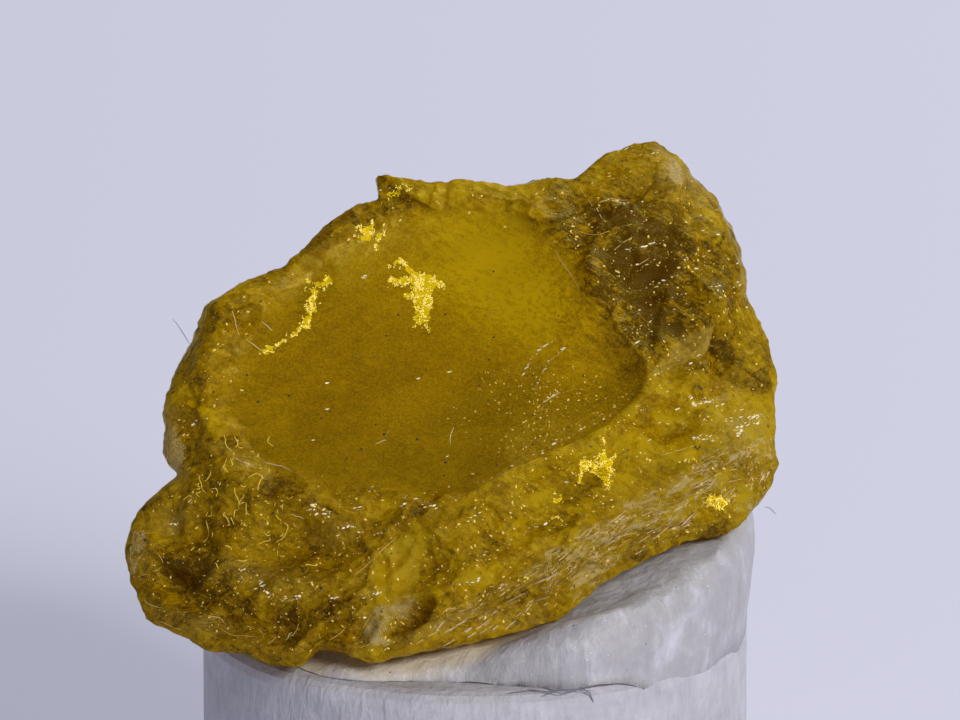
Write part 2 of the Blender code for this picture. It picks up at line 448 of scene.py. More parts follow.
def add_node(tree, kind, settings=None, **inputs):
    """A node with its settings, and with each named input set to a value or linked."""
    node = tree.nodes.new(kind)
    for key, value in (settings or {}).items():
        setattr(node, key, value)
    set_inputs(tree, node, {key.replace("_", " "): value for key, value in inputs.items()})
    return node


def drawn_out(tree, stretch, turn):
    """Object coordinates, drawn out by `stretch` along axes that are turned by `turn` degrees."""
    place = add_node(tree, "ShaderNodeTexCoord").outputs["Object"]
    return add_node(
        tree, "ShaderNodeMapping", {"vector_type": "TEXTURE"}, Vector=place,
        Rotation=tuple(math.radians(part) for part in turn), Scale=stretch,
    ).outputs["Vector"]


def noise(tree, scale, detail=4.0, roughness=0.6, stretch=(1, 1, 1), turn=(0, 0, 0), waver=0.0):
    """Noise on object coordinates, with `scale` bumps a millimetre, drawn out and turned, and
    pushed out of line by `waver`."""
    return add_node(
        tree, "ShaderNodeTexNoise", Vector=drawn_out(tree, stretch, turn), Scale=scale / MM,
        Detail=detail, Roughness=roughness, Distortion=waver,
    ).outputs["Fac"]


def facets(tree, scale, stretch, turn):
    """Small sharp-edged cells, `scale` a millimetre: how far each place is from its cell's
    middle, and a random number that is the same all over a cell."""
    place = drawn_out(tree, stretch, turn)
    cell = add_node(tree, "ShaderNodeTexVoronoi", Vector=place, Scale=scale / MM)
    number = add_node(tree, "ShaderNodeSeparateColor", Color=cell.outputs["Color"])
    return cell.outputs["Distance"], number.outputs["Red"]


def attribute(tree, name):
    """The number that the piece's mesh carries under this name."""
    return add_node(tree, "ShaderNodeAttribute", {"attribute_name": name}).outputs["Fac"]


def ramp(tree, value, low, high, start=0.0, end=1.0):
    """The value's range from low to high carried to start to end, and held at both ends."""
    return add_node(
        tree, "ShaderNodeMapRange", Value=value, From_Min=low, From_Max=high,
        To_Min=start, To_Max=end,
    ).outputs["Result"]


def calculate(tree, operation, first, second):
    """The two values put together by one operation."""
    node = tree.nodes.new("ShaderNodeMath")
    node.operation = operation
    set_input(tree, node.inputs[0], first)
    set_input(tree, node.inputs[1], second)
    return node.outputs[0]


def added(tree, first, *others):
    """The sum of the values."""
    for other in others:
        first = calculate(tree, "ADD", first, other)
    return first


def scaled(tree, first, second):
    """The two values multiplied."""
    return calculate(tree, "MULTIPLY", first, second)


def mix_colour(tree, share, first, second):
    """The first colour where the share is 0, the second where it is 1, and a blend between."""
    node = tree.nodes.new("ShaderNodeMix")
    node.data_type = "RGBA"
    for number, value in ((0, share), (6, first), (7, second)):
        set_input(tree, node.inputs[number], value)
    return node.outputs[2]


def bumped(tree, height, distance_mm):
    """A normal tilted by the slope of `height`, which is `distance_mm` tall from 0 to 1."""
    bump = add_node(tree, "ShaderNodeBump", Height=height, Distance=distance_mm * MM)
    return bump.outputs["Normal"]


# The ranges of the rough attribute, from the calm bowl to the broken skin.
SMOOTH_SKIN = 0.1
BROKEN_SKIN = 0.46
# How the bowl's striae and the band's splinters run: turns that carry X onto their direction.
STRIAE_TURN = (0, 30.5, -10.4)
BAND_TURN = (0, -27.6, 9.2)
# The patterns: bumps a millimetre, how fine they go, and how they are drawn out and turned.
GRAIN = {"scale": 13.0, "detail": 6.0, "roughness": 0.8, "stretch": (2.2, 1, 1), "turn": BAND_TURN}
DUST = {"scale": 24.0, "detail": 2.0, "roughness": 0.7}
STRIAE = {"scale": 14.0, "detail": 3.0, "roughness": 0.6, "stretch": (12, 1, 1), "turn": STRIAE_TURN}
SPLINTERS = {
    "scale": 9.0, "detail": 6.0, "roughness": 0.7, "stretch": (8, 1, 1), "turn": BAND_TURN, "waver": 0.6,
}
RIPPLES = {"scale": 6.0, "detail": 6.0, "roughness": 0.75}
FACETS = {"scale": 2.6, "stretch": (1.6, 1, 1), "turn": BAND_TURN}
SMALL_FACETS = {"scale": 6.5, "stretch": (1.5, 1, 1), "turn": STRIAE_TURN}
# The most that the grain's flecks, the two sizes of facets and the dust add to the tone, and
# how much of the dust is gone where the skin is broken.
FLECK_SHARE = 0.75
FACET_SHARE = 2.0
DUST_SHARE = 0.45
DUST_CLEARED = 0.35
# The tone before anything is added, how much a dark patch or the painted edge shade takes from it, and
# the painted highlight that a crest adds.
PLAIN_TONE = 0.5
DARKENING = 1.35
CREST_PAINTED_HIGHLIGHT = 0.3
# Painted shade just inside the bowl's crisp edge, and painted light just outside it: how much darker and
# how much lighter they make the skin.
EDGE_PAINTED_SHADE = 0.12
EDGE_PAINTED_LIGHT = 0.22
# How tall the stone's bump is, in mm.
STONE_RELIEF = 0.16
# The light that the stone's body lets through, and how dense it is to the metre.
STONE_ABSORPTION = (0.9905, 0.9875, 0.0, 1.0)
STONE_DENSITY = 8000.0
STONE_DARK = (0.105, 0.041, 0.001, 1)
STONE_PLAIN = (0.62, 0.375, 0.004, 1)
STONE_BRIGHT = (1.0, 0.7, 0.01, 1)
STONE_FROST = (0.52, 0.33, 0.05, 1)
STONE_FROST_LIGHT = (1.0, 0.77, 0.32, 1)
STONE_GLOSS = {
    "IOR": 1.69, "Transmission Weight": 0.62, "Specular IOR Level": 0.0,
    "Specular Tint": (0.85, 0.75, 0.45, 1), "Coat Tint": (1.0, 0.96, 0.3, 1), "Coat IOR": 1.05,
}


def mottled_tone(tree, rough, grain, shades):
    """The tone attribute with what the patterns add to it: flecks and facets where the skin is
    rough, dust most of all where it is calm, and striae where their attribute says."""
    flecks = scaled(tree, ramp(tree, grain, 0.42, 0.58, 0.0, FLECK_SHARE), rough)
    dust = ramp(tree, noise(tree, **DUST), 0.4, 0.6, 0.0, DUST_SHARE)
    dust = scaled(tree, dust, ramp(tree, rough, SMOOTH_SKIN, BROKEN_SKIN, 1.0, 1 - DUST_CLEARED))
    striae = scaled(tree, ramp(tree, noise(tree, **STRIAE), 0.36, 0.64), attribute(tree, "striae"))
    return added(tree, attribute(tree, "tone"), flecks, dust, scaled(tree, shades, rough), striae)


def stone_material():
    """Clear yellow-brown stone. Its colour comes from what its body absorbs, blue most of all,
    and from a tint that the tone and frost attributes vary over its skin: the tone runs from
    dark through plain to bright, and frost covers it. A thin yellow coat warms the edges."""
    material, tree, shader = new_material("Sinhalite")
    rough = attribute(tree, "rough")
    grain = noise(tree, **GRAIN)
    pit, shade = facets(tree, **FACETS)
    small_pit, small_shade = facets(tree, **SMALL_FACETS)
    tone = mottled_tone(tree, rough, grain, added(tree, shade, small_shade))
    splinters = scaled(tree, ramp(tree, noise(tree, **SPLINTERS), 0.43, 0.57), attribute(tree, "band"))
    frost = calculate(tree, "MAXIMUM", attribute(tree, "frost"), splinters)
    # The tone holds painted light and shade besides the stone's own tone.
    body = mix_colour(tree, ramp(tree, tone, -0.3, 0.5), STONE_DARK, STONE_PLAIN)
    body = mix_colour(tree, ramp(tree, tone, 0.5, 1.15), body, STONE_BRIGHT)
    pale = added(tree, ramp(tree, grain, 0.4, 0.65), ramp(tree, frost, 0.7, 1.0))
    frosted = mix_colour(tree, pale, STONE_FROST, STONE_FROST_LIGHT)
    dullness = ramp(tree, rough, SMOOTH_SKIN, BROKEN_SKIN, 0.34, 0.1)
    pits = scaled(tree, added(tree, pit, small_pit), 0.4)
    height = added(tree, scaled(tree, noise(tree, **RIPPLES), 0.5), pits)
    inside = add_node(
        tree, "ShaderNodeVolumeAbsorption", Color=STONE_ABSORPTION, Density=STONE_DENSITY
    )
    set_inputs(tree, shader, {
        **STONE_GLOSS, "Base Color": mix_colour(tree, frost, body, frosted),
        "Roughness": added(tree, dullness, ramp(tree, frost, 0, 1, 0, 0.25)),
        "Coat Weight": ramp(tree, frost, 0, 1, 0.95, 0.35),
        "Normal": bumped(tree, scaled(tree, height, rough), STONE_RELIEF),
    })
    set_input(tree, tree.nodes["Material Output"].inputs["Volume"], inside.outputs["Volume"])
    return material


def plain_material(name, colour, roughness, **gloss):
    """One colour and one roughness all over, and any other plain values by their names."""
    material, tree, shader = new_material(name)
    set_inputs(tree, shader, {"Base Color": colour, "Roughness": roughness})
    set_inputs(tree, shader, {key.replace("_", " "): value for key, value in gloss.items()})
    return material


PLASTER_DULL = (0.44, 0.435, 0.47, 1)
PLASTER_LIGHT = (0.645, 0.635, 0.69, 1)
PLASTER_MOTTLE = {"scale": 1.2, "detail": 8.0, "roughness": 0.7}
PLASTER_FIBRES = {"scale": 5.0, "detail": 5.0, "stretch": (1, 1, 3), "waver": 0.6}
# The colour of painted warm light from the stone on the putty.
PUTTY_GLOW_COLOUR = (0.9, 0.78, 0.54, 1)
PUTTY_DULL = (0.345, 0.335, 0.355, 1)
PUTTY_LIGHT = (0.47, 0.46, 0.48, 1)
PUTTY_PALE = (0.72, 0.72, 0.8, 1)
PUTTY_MOTTLE = {"scale": 2.0, "detail": 6.0, "roughness": 0.65}
PUTTY_STREAKS = {"scale": 4.0, "detail": 4.0, "stretch": (1, 1, 4), "waver": 0.4}


def post_material():
    """Matte white plaster: mottled, with fine fibres that run mostly up and down."""
    material, tree, shader = new_material("White plaster")
    fibres = noise(tree, **PLASTER_FIBRES)
    cloud = ramp(tree, noise(tree, **PLASTER_MOTTLE), 0.35, 0.65, 0, 0.7)
    cloud = added(tree, cloud, ramp(tree, fibres, 0.35, 0.65, 0, 0.3))
    set_inputs(tree, shader, {
        "Base Color": mix_colour(tree, cloud, PLASTER_DULL, PLASTER_LIGHT),
        "Roughness": 0.75, "Normal": bumped(tree, fibres, 0.06),
    })
    return material


def putty_material():
    """Waxy pale putty, close to the plaster's colour: warmer with painted light where light shone
    through the stone would fall on it, and with soft streaks that run up and down."""
    material, tree, shader = new_material("Pale putty")
    mottle, streak = noise(tree, **PUTTY_MOTTLE), noise(tree, **PUTTY_STREAKS)
    cloud = ramp(tree, mottle, 0.3, 0.7, -0.2, 0.2)
    # The bright attribute adds painted light and shade.
    cloud = added(tree, cloud, ramp(tree, streak, 0.3, 0.7, -0.15, 0.15), attribute(tree, "bright"))
    colour = mix_colour(tree, ramp(tree, cloud, 0.0, 0.55), PUTTY_DULL, PUTTY_LIGHT)
    colour = mix_colour(tree, ramp(tree, cloud, 0.55, 1.0), colour, PUTTY_PALE)
    # Painted warm light from the stone, by the glow attribute.
    glow_share = ramp(tree, attribute(tree, "glow"), 0.35, 1.0, 0.0, 0.8)
    set_inputs(tree, shader, {
        "Base Color": mix_colour(tree, glow_share, colour, PUTTY_GLOW_COLOUR),
        "Roughness": 0.45, "Normal": bumped(tree, added(tree, mottle, streak), 0.05),
    })
    return material


# ---- the stone's skin ----

# Each scoop is a chip: centre (u, v), half length, half width, turn in degrees, and depth.
SCOOPS = (
    (2.04, 7.19, 1.0, 0.7, -30, 0.18), (3.25, 5.98, 1.2, 1.0, 50, 0.15),
    (4.18, 6.72, 0.8, 0.6, -60, 0.18), (4.83, 4.68, 0.5, 0.9, 10, 0.3),
    (3.07, 7.84, 0.6, 0.4, 20, 0.25), (4.18, 7.65, 0.5, 0.4, -50, 0.2),
    (-3.25, 1.34, 1.7, 0.65, -8, 0.3), (-4.83, 1.71, 0.9, 0.6, 20, 0.25),
    (-4.18, -0.15, 1.1, 0.45, -12, 0.3), (-5.4, 0.45, 0.75, 0.4, -25, 0.35),
    (-2.51, -0.43, 0.8, 0.35, 20, 0.35), (-1.21, 0.05, 0.5, 0.35, 30, 0.4),
    (-1.86, 1.06, 0.9, 0.45, 35, 0.25), (-5.67, 1.6, 0.45, 0.5, 0, 0.2),
    (-0.84, 0.97, 0.9, 0.5, 30, 0.2), (1.02, 1.71, 1.5, 0.5, 30, 0.12), (3.99, 3.75, 1.0, 0.4, 25, 0.2),
    (3.25, 2.08, 1.3, 0.3, 25, 0.15), (1.58, 0.41, 0.9, 0.25, 30, 0.2),
    (4.55, 2.08, 0.8, 0.35, 20, 0.25), (-3.25, 5.98, 0.8, 0.5, 45, 0.1),
    (-4.46, 5.42, 0.6, 0.35, 40, 0.12), (-5.29, 3.94, 0.35, 0.9, 10, 0.15),
    (-0.35, -0.25, 0.9, 0.3, 12, 0.25),
)
# The line along the middle of the streaky band.
BAND_LINE = ((5.52, 2.9), (4.18, 2.2), (2.69, 1.45), (1.21, 0.5), (-0.46, -0.25))
BAND_HALF_WIDTH = 0.42
# Soft oval patches: centre (u, v), half length, half width, turn in degrees, and strength.
FROST_PATCHES = (
    (-5.7, 1.72, 0.35, 0.22, 35, 0.8), (-5.62, 3.1, 0.16, 0.8, 8, 1.0), (-6.15, 1.2, 0.18, 0.5, 0, 0.8),
    (-4.9, -0.2, 1.4, 0.22, -14, 0.5), (-1.73, -0.1, 0.7, 0.2, 42, 1.0),
    (-0.6, -0.2, 0.75, 0.16, 22, 0.8), (-3.75, 0.75, 0.9, 0.28, -12, 0.5),
    (5.0, 3.45, 0.6, 0.4, 15, 0.7), (3.8, 7.98, 0.65, 0.4, 10, 0.6), (3.99, 5.05, 0.25, 0.15, 10, 0.8),
    (-4.27, 2.76, 0.45, 0.1, -30, 0.8), (-2.5, 1.55, 0.6, 0.3, 10, 0.3),
)
DARK_PATCHES = (
    (2.95, 6.25, 1.25, 1.5, 20, 0.98), (3.4, 5.2, 0.55, 0.8, 0, 0.5), (2.14, 7.05, 1.0, 0.6, -35, 0.75),
    (5.1, 4.75, 0.55, 0.8, 10, 0.35), (4.7, 6.0, 0.6, 0.7, 0, 0.36), (3.2, 8.1, 0.9, 0.5, 0, 0.22),
    (-4.2, -0.25, 1.6, 0.5, -12, 0.22), (4.9, 2.6, 0.6, 0.5, 0, 0.1),
    (-5.35, 0.55, 1.4, 0.85, -20, 0.44), (-1.05, 0.0, 0.45, 0.28, 30, 0.35),
    (-4.1, 2.55, 0.7, 0.25, -10, 0.16), (1.2, 3.85, 1.8, 0.55, 27, 0.07),
    (-2.8, -0.1, 0.45, 0.25, 0, 0.2), (-3.0, 3.9, 2.0, 1.5, 0, 0.08), (-0.6, 4.5, 1.6, 0.9, 0, 0.07),
)
# Painted light: brighter patches of tone where light shines through the stone and where faces catch the
# light.
PAINTED_LIGHT_PATCHES = (
    (0.8, 6.15, 1.9, 0.95, -32, 0.88), (2.4, 2.9, 3.2, 0.7, 31, 0.22), (-2.0, 6.7, 0.9, 0.5, 40, 0.25),
    (-0.3, 7.5, 1.6, 0.35, 0, 0.2), (4.4, 2.0, 0.8, 0.35, 15, 0.25), (4.8, 3.6, 0.9, 0.6, 25, 0.3),
    (-1.5, 1.1, 0.7, 0.35, 38, 0.35), (4.6, 6.2, 0.5, 1.6, 15, 0.05),
)
STRIAE_PATCHES = ((0.9, 6.0, 1.9, 0.9, -32, 0.8), (2.6, 6.5, 1.3, 1.3, 0, 0.55))

# Crisp-edged panes: closed loops of (u, v) points.
PANE_LOOPS = {
    "lower triangle": (
        (-1.28, 1.58), (-1.1, 1.24), (-1.17, 0.59), (-1.39, 0.26), (-1.67, 0.22), (-2.19, -0.37),
        (-2.32, -0.24), (-1.99, 0.26), (-2.51, 0.54),
    ),
    "chip": (
        (-2.19, -0.41), (-2.02, -0.13), (-1.76, 0.11), (-1.15, 0.39), (-1.78, -0.33), (-1.99, -0.45),
    ),
    "chip end": ((-2.01, -0.39), (-1.78, -0.33), (-1.54, -0.5), (-1.63, -0.56), (-1.97, -0.46)),
    "band right": (
        (3.59, 2.49), (4.4, 3.01), (4.92, 3.18), (5.39, 3.25), (5.54, 3.1), (5.52, 2.79), (4.74, 2.75),
        (3.99, 2.41), (3.66, 2.38),
    ),
    "band main": (
        (4.59, 2.45), (3.83, 1.97), (3.99, 1.69), (3.81, 1.5), (3.44, 1.56), (3.07, 1.49), (2.32, 1.02),
        (1.21, 0.67), (0.8, 0.71), (1.43, 1.24), (2.6, 1.89), (2.69, 2.02), (3.34, 2.3), (4.18, 2.53),
    ),
    "band low": ((2.73, 1.13), (2.47, 0.74), (1.8, 0.22), (1.82, 0.85)),
    "band corner": ((5.39, 2.32), (5.44, 2.23), (5.29, 1.99), (5.07, 1.86), (4.9, 1.89), (4.83, 2.06)),
    "dark wedge": ((4.79, 5.09), (5.22, 5.0), (5.42, 4.68), (5.52, 4.01), (5.07, 3.94), (4.72, 4.72)),
    "dotted": (
        (3.27, 4.44), (3.72, 4.98), (3.96, 5.16), (4.48, 5.31), (4.42, 5.02), (4.18, 4.7), (3.9, 4.66),
        (3.38, 4.4),
    ),
    "lobe brown": (
        (-5.78, 0.74), (-5.52, 0.97), (-5.02, 0.87), (-4.51, 0.67), (-4.63, 0.41), (-5.07, 0.35),
        (-5.52, 0.41), (-5.7, 0.56),
    ),
    "left strip": (
        (-5.67, 3.47), (-5.55, 3.42), (-5.42, 3.1), (-5.41, 2.79), (-5.52, 2.6), (-5.67, 2.79),
        (-5.74, 3.1),
    ),
    "left corner": ((-6.11, 1.52), (-6.06, 1.32), (-6.39, 0.65), (-6.35, 1.19), (-6.26, 1.45)),
    "disc": (
        (-3.57, 0.22), (-3.38, 0.22), (-3.25, 0.09), (-3.23, -0.11), (-3.36, -0.26), (-3.57, -0.26),
        (-3.7, -0.11), (-3.7, 0.11),
    ),
    "knob pale": ((3.73, 8.43), (3.85, 8.25), (3.86, 7.99), (3.73, 7.89), (3.6, 8.06), (3.59, 8.4)),
    "knob dark": ((3.85, 8.3), (3.99, 8.32), (4.29, 7.88), (4.12, 7.76), (3.92, 7.91)),
    "purple": (
        (2.38, 5.2), (2.6, 5.39), (3.07, 5.46), (3.47, 5.39), (3.55, 4.96), (3.36, 4.57), (3.1, 4.83),
        (2.43, 4.94),
    ),
    "bowl spot": ((2.54, 4.46), (2.69, 4.61), (2.95, 4.59), (3.07, 4.42), (2.88, 4.27), (2.64, 4.29)),
}
# How much each pane's tone rises, and how frosted it is.
PANE_LOOKS = {
    "lower triangle": (0.25, 0.2), "chip": (0.9, 0.75), "chip end": (0.9, 1.0),
    "dark wedge": (-0.16, 0.0), "dotted": (0.15, 0.6), "lobe brown": (-0.16, 0.0),
    "left strip": (0.2, 0.85), "left corner": (0.2, 0.7), "disc": (-0.22, 0.0),
    "knob pale": (0.4, 0.9), "knob dark": (-0.25, 0.0), "purple": (-0.22, 0.0),
    "bowl spot": (-0.16, 0.0),
}
FROSTED_PANES = ("chip", "chip end", "knob pale", "left strip", "left corner")
BAND_PANES = ("band right", "band main", "band low", "band corner")


def oval_share(u, v, middle_u, middle_v, long, wide, turn):
    """Squared distance from an oval's middle: 0 there and 1 on its outline."""
    cos, sin = math.cos(math.radians(turn)), math.sin(math.radians(turn))
    along = ((u - middle_u) * cos + (v - middle_v) * sin) / long
    across = ((v - middle_v) * cos - (u - middle_u) * sin) / wide
    return along**2 + across**2


def patches(u, v, ovals):
    """Soft hills: strength times e to the minus squared distance, the strongest winning."""
    total = np.zeros(len(u))
    for *oval, strength in ovals:
        total = np.maximum(total, strength * np.exp(-oval_share(u, v, *oval)))
    return total


def band_share(u, v):
    """1 along the streaky band at the stone's lower right edge, fading out either side: e to
    the minus square of the distance up from its line, over its half width."""
    line = np.array(BAND_LINE)[::-1]
    height = np.interp(u, line[:, 0], line[:, 1])
    near = np.exp(-(((v - height) / BAND_HALF_WIDTH) ** 2))
    return near * smooth_step(u, -0.8, 0.4)


def ridge_side(u, v):
    """1 on the bowl's lower right side, where its edge is crisp, and 0 on the other sides."""
    return smooth_step(5.2 - v + 0.25 * u, 0.0, 1.5) * smooth_step(u, -0.9, -0.1)


def in_panes(points, names, waver):
    """1 inside any of the named panes, whose edges waver a little, and 0 outside."""
    places = points[:, :2] + waver * noise_push(points, 0.25, 121, 2)
    inside = [inside_loop(places, PANE_LOOPS[name]) for name in names]
    return np.any(inside, axis=0).astype(float)


def panes(points, on_front):
    """What the panes add to the tone, and how frosted they make the skin."""
    tone, frost = np.zeros((2, len(points)))
    for name, (rise, whitened) in PANE_LOOKS.items():
        inside = in_panes(points, [name], 0.05) * on_front
        tone += rise * inside
        frost = np.maximum(frost, whitened * inside)
    return tone, frost


def streaks(points, size, salt, turn=28.0):
    """Noise drawn out eight times along a direction in the lean frame."""
    cos, sin = math.cos(math.radians(turn)), math.sin(math.radians(turn))
    u, v, w = points.T
    drawn = np.column_stack([(u * cos + v * sin) / 8, v * cos - u * sin, w])
    return soft_noise(drawn, size, salt)


def scooped(u, v):
    """The depth of the deepest scoop at each place: each is a shallow bowl."""
    depth = np.zeros(len(u))
    for *oval, deep in SCOOPS:
        depth = np.maximum(depth, deep * np.clip(1 - oval_share(u, v, *oval), 0, 1))
    return depth


def stone_relief(points, calm):
    """Three arrays: how far the skin stands out, in mm, which is scallops of three sizes,
    streaks along the band and fine grain; how near a crest each place is; and the shade of its
    chips. All but the grain are nearly gone where the skin is calm."""
    wandering = warped(points, 1.1, 91)
    big, big_crest, big_shade = chips(wandering * (0.8, 1.1, 0.8), 1.5, 11)
    middle, middle_crest, middle_shade = chips(wandering * (0.9, 1.1, 0.9), 0.62, 31)
    small, _, small_shade = chips(points, 0.26, 51)
    rough = 0.26 * big + 0.15 * middle + 0.06 * small
    crests = np.exp(-big_crest / 0.02) + 0.8 * np.exp(-middle_crest / 0.03)
    shade = 0.4 * big_shade + 0.34 * middle_shade + 0.22 * small_shade - 0.48
    rough += 0.05 * band_share(*points[:, :2].T) * streaks(points, 0.16, 81)
    fine = 0.004 * soft_noise(points, 0.12, 71) + 0.002 * streaks(points, 0.2, 83, turn=-28.0)
    rough -= rough.mean()
    return rough * (1 - calm) + fine, crests * (1 - calm), shade * (1 - calm)


# ---- the stone ----


def blend(grid, row, column):
    """The grid's values between its four nearest points, in proportion."""
    low_row, low_column = np.floor(row).astype(int), np.floor(column).astype(int)
    part_row, part_column = (row - low_row)[..., None], (column - low_column)[..., None]
    near = grid[low_row, low_column] * (1 - part_row) + grid[low_row + 1, low_column] * part_row
    low_column = low_column + 1
    far = grid[low_row, low_column] * (1 - part_row) + grid[low_row + 1, low_column] * part_row
    return near * (1 - part_column) + far * part_column


class Skin:
    """The finished front of the stone: where each of its points is, and which way it faces."""

    def __init__(self, places, normals):
        self.places = places
        self.normals = normals

    def at(self, u, v, height):
        """World points `height` mm above the skin, and its normals there: the sheet's own
        grid, looked up backwards."""
        share = np.clip(stone_share(u, v), 0, 0.985)
        long = 1 - (1 - share) ** (1 / RIM_CROWDING)
        turn = np.arctan2(v - STONE_CENTRE[1], u - STONE_CENTRE[0])
        quarter = np.round(turn / (math.pi / 2)).astype(int)
        short = long * (turn - quarter * math.pi / 2) / (math.pi / 4)
        a = np.choose(quarter % 4, [long, -short, -long, short])
        b = np.choose(quarter % 4, [short, long, -short, -long])
        row, column = (a + 1) / 2 * SHEET_CELLS, (b + 1) / 2 * SHEET_CELLS
        places, normals = blend(self.places, row, column), blend(self.normals, row, column)
        normals /= np.linalg.norm(normals, axis=-1, keepdims=True)
        return places + normals * (height * MM), normals


def bowl_calm(u, v):
    """Nearly 1 in the bowl and 0 outside it, changing along the bowl's edge: over a narrow
    strip at the lower right, where the edge is crisp, and over a wide one elsewhere."""
    crisp = ridge_side(u, v)
    low, high = 0.82 + 0.16 * crisp, 1.0 + 0.03 * crisp
    return 0.95 * (1 - smooth_step(bowl_share(u, v), low, high))


def dark_share(points):
    """How dark each place of the front is: soft patches broken up by noise, painted shade just inside
    the bowl's crisp edge, and painted light just outside it."""
    u, v, _ = points.T
    share, ridge = bowl_share(u, v), ridge_side(u, v)
    dark = patches(u, v, DARK_PATCHES) * (1 + 0.4 * soft_noise(points, 0.4, 95))
    dark = dark + EDGE_PAINTED_SHADE * ridge * smooth_step(share, 0.72, 0.99) * (share < 1.0)
    return dark - EDGE_PAINTED_LIGHT * ridge * np.exp(-(share - 1.0) / 0.12) * (share >= 1.0)


def paint_stone(stone, points, on_front, calm, crests, shade):
    """The attributes that the material reads. Its patterns (flecks, two sizes of facets, dust and
    striae) only add to the tone, so half of the most that they can add is taken off here."""
    u, v, _ = points.T
    rough = SMOOTH_SKIN + (BROKEN_SKIN - SMOOTH_SKIN) * (1 - calm)
    striae = 0.08 + 0.3 * (1 - calm) + patches(u, v, STRIAE_PATCHES)
    dust = DUST_SHARE * (1 - DUST_CLEARED * (1 - calm))
    patterns = (FLECK_SHARE + FACET_SHARE) * rough + dust
    ragged = smooth_step(streaks(points, 0.22, 85) + 0.5 * soft_noise(points, 0.3, 87), -0.35, 0.5)
    pane_tone, pane_frost = panes(points, on_front)
    frost = patches(u, v, FROST_PATCHES) * (0.5 + 0.5 * ragged)
    frost = np.maximum(frost, pane_frost * (0.7 + 0.3 * ragged))
    # The tone carries painted light from the bright patches and the crests, and painted shade and light
    # at the bowl's crisp edge.
    tone = PLAIN_TONE + patches(u, v, PAINTED_LIGHT_PATCHES) - DARKENING * dark_share(points) + pane_tone
    tone = tone - (patterns + striae) / 2 + shade + CREST_PAINTED_HIGHLIGHT * crests
    band = np.maximum(0.5 * band_share(u, v), in_panes(points, BAND_PANES, 0.08))
    back_frost = 0.35 * smooth_step(soft_noise(points, 0.9, 89), 0.0, 0.7)
    for name, front, back in (
        ("tone", tone, PLAIN_TONE - patterns / 2 + shade), ("frost", frost, back_frost),
        ("rough", rough, rough), ("striae", striae, 0.0), ("band", band, 0.0),
    ):
        add_attribute(stone, name, np.where(on_front, front, back))


def add_stone():
    """The stone: two sheets, pushed in and out along their normals by the relief less the
    scoops, but little near the rim, so that the outline stays true. Gives its front skin and
    the map of its underside."""
    front, back = stone_sheets()
    points, faces = two_sheets(front, back)
    front_count = front.shape[0] * front.shape[1]
    on_front = np.arange(len(points)) < front_count
    places = to_world(*points.T)
    stone = new_piece("gem_rough", places, faces, stone_material())
    u, v, _ = points.T
    calm = bowl_calm(u, v) * on_front
    relief, crests, shade = stone_relief(points, calm)
    held = 1 - 0.72 * smooth_step(stone_share(u, v), 0.88, 0.99)
    places = push_out(stone, places, (relief - scooped(u, v) * on_front) * held)
    paint_stone(stone, points, on_front, calm, crests, shade)
    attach(stone, "root")
    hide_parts("sinhalite_stone")
    normals = vertex_values(stone, "normal")[:front_count].reshape(front.shape)
    return Skin(places[:front_count].reshape(front.shape), normals), underside_map(places)


# ---- the putty ----

# The map of the stone's underside: its cell in mm, and how many cells it reaches each way.
MAP_CELL = 0.05
MAP_REACH = 130
NO_STONE = 99.0
# Each of the putty's sheets is a grid of so many cells each way.
PUTTY_CELLS = 170
# The putty's outline: the turn from +X in degrees, and how far it reaches there. It is blurred
# over so many directions.
PUTTY_OUTLINE = (
    (-178, 4.2), (-150, 4.2), (-135, 4.66), (-124, 4.85), (-114, 4.6), (-103, 4.25), (-92, 4.2),
    (-80, 4.52), (-68, 4.9), (-56, 5.08), (-30, 5.22), (0, 5.33), (45, 5.2), (90, 4.9), (135, 4.5),
)
PUTTY_BLUR = 91
# The mound: its height at the middle, how much it rises with x and with y, and its least height.
MOUND_MIDDLE = 1.15
MOUND_RISE = (0.29, 0.06)
MOUND_LEAST = 0.85
# Where the putty hangs over the post's edge, it comes down this far, and thins to the reach of
# its hem. Its flat underside stands this far above the post.
PUTTY_OVERHANG = 0.55
PUTTY_HEM = 5.03
PUTTY_LIFT = 0.004
# The gap between the putty and the stone above it.
PUTTY_GAP = 0.005
# Dents in the putty: how deep, how wide, and their salt.
PUTTY_DENTS = ((0.03, 0.7, 273), (0.016, 0.25, 274))
# Painted light on a pale facet and on the slope by the stone, and painted shade in dull hollows, on the
# putty's front: ovals in the lean frame, and how strong each is.
PUTTY_PAINTED_LIGHT = (
    (3.6, -0.45, 0.62, 0.2, 52, 0.8), (2.2, -1.05, 0.9, 0.12, 16, 0.5), (2.6, 0.4, 1.3, 0.26, 17, 0.45),
)
PUTTY_PAINTED_SHADE = ((1.55, -1.2, 0.6, 0.14, 8, 0.6), (2.6, -0.9, 0.5, 0.15, 20, 0.3))
# The putty stands a little proud above this line, from the crack up to the right.
LIP_LINE = (
    (0.9, -1.5), (1.6, -1.42), (2.3, -1.24), (3.06, -0.92), (3.55, -0.5), (4.0, 0.05), (4.4, 0.6),
)
LIP_HEIGHT = 0.06
CRACK_LINES = (
    ((0.95, -1.3), (1.3, -1.38), (1.6, -1.42), (2.05, -1.3), (2.4, -1.24)),
    ((1.1, -1.22), (1.42, -1.34), (1.75, -1.35), (2.2, -1.38)),
    ((1.25, -1.45), (1.5, -1.36), (1.62, -1.22)), ((0.6, -1.4), (0.98, -1.34), (1.2, -1.37)),
    ((1.9, -1.28), (2.1, -1.42), (2.18, -1.6)),
)


def spread(grid, rule, times):
    """Each cell of a map takes in its four neighbours by the rule, `times` over."""
    for _ in range(times):
        for axis in (0, 1):
            grid = rule(np.roll(grid, 1, axis), grid, np.roll(grid, -1, axis))
    return grid


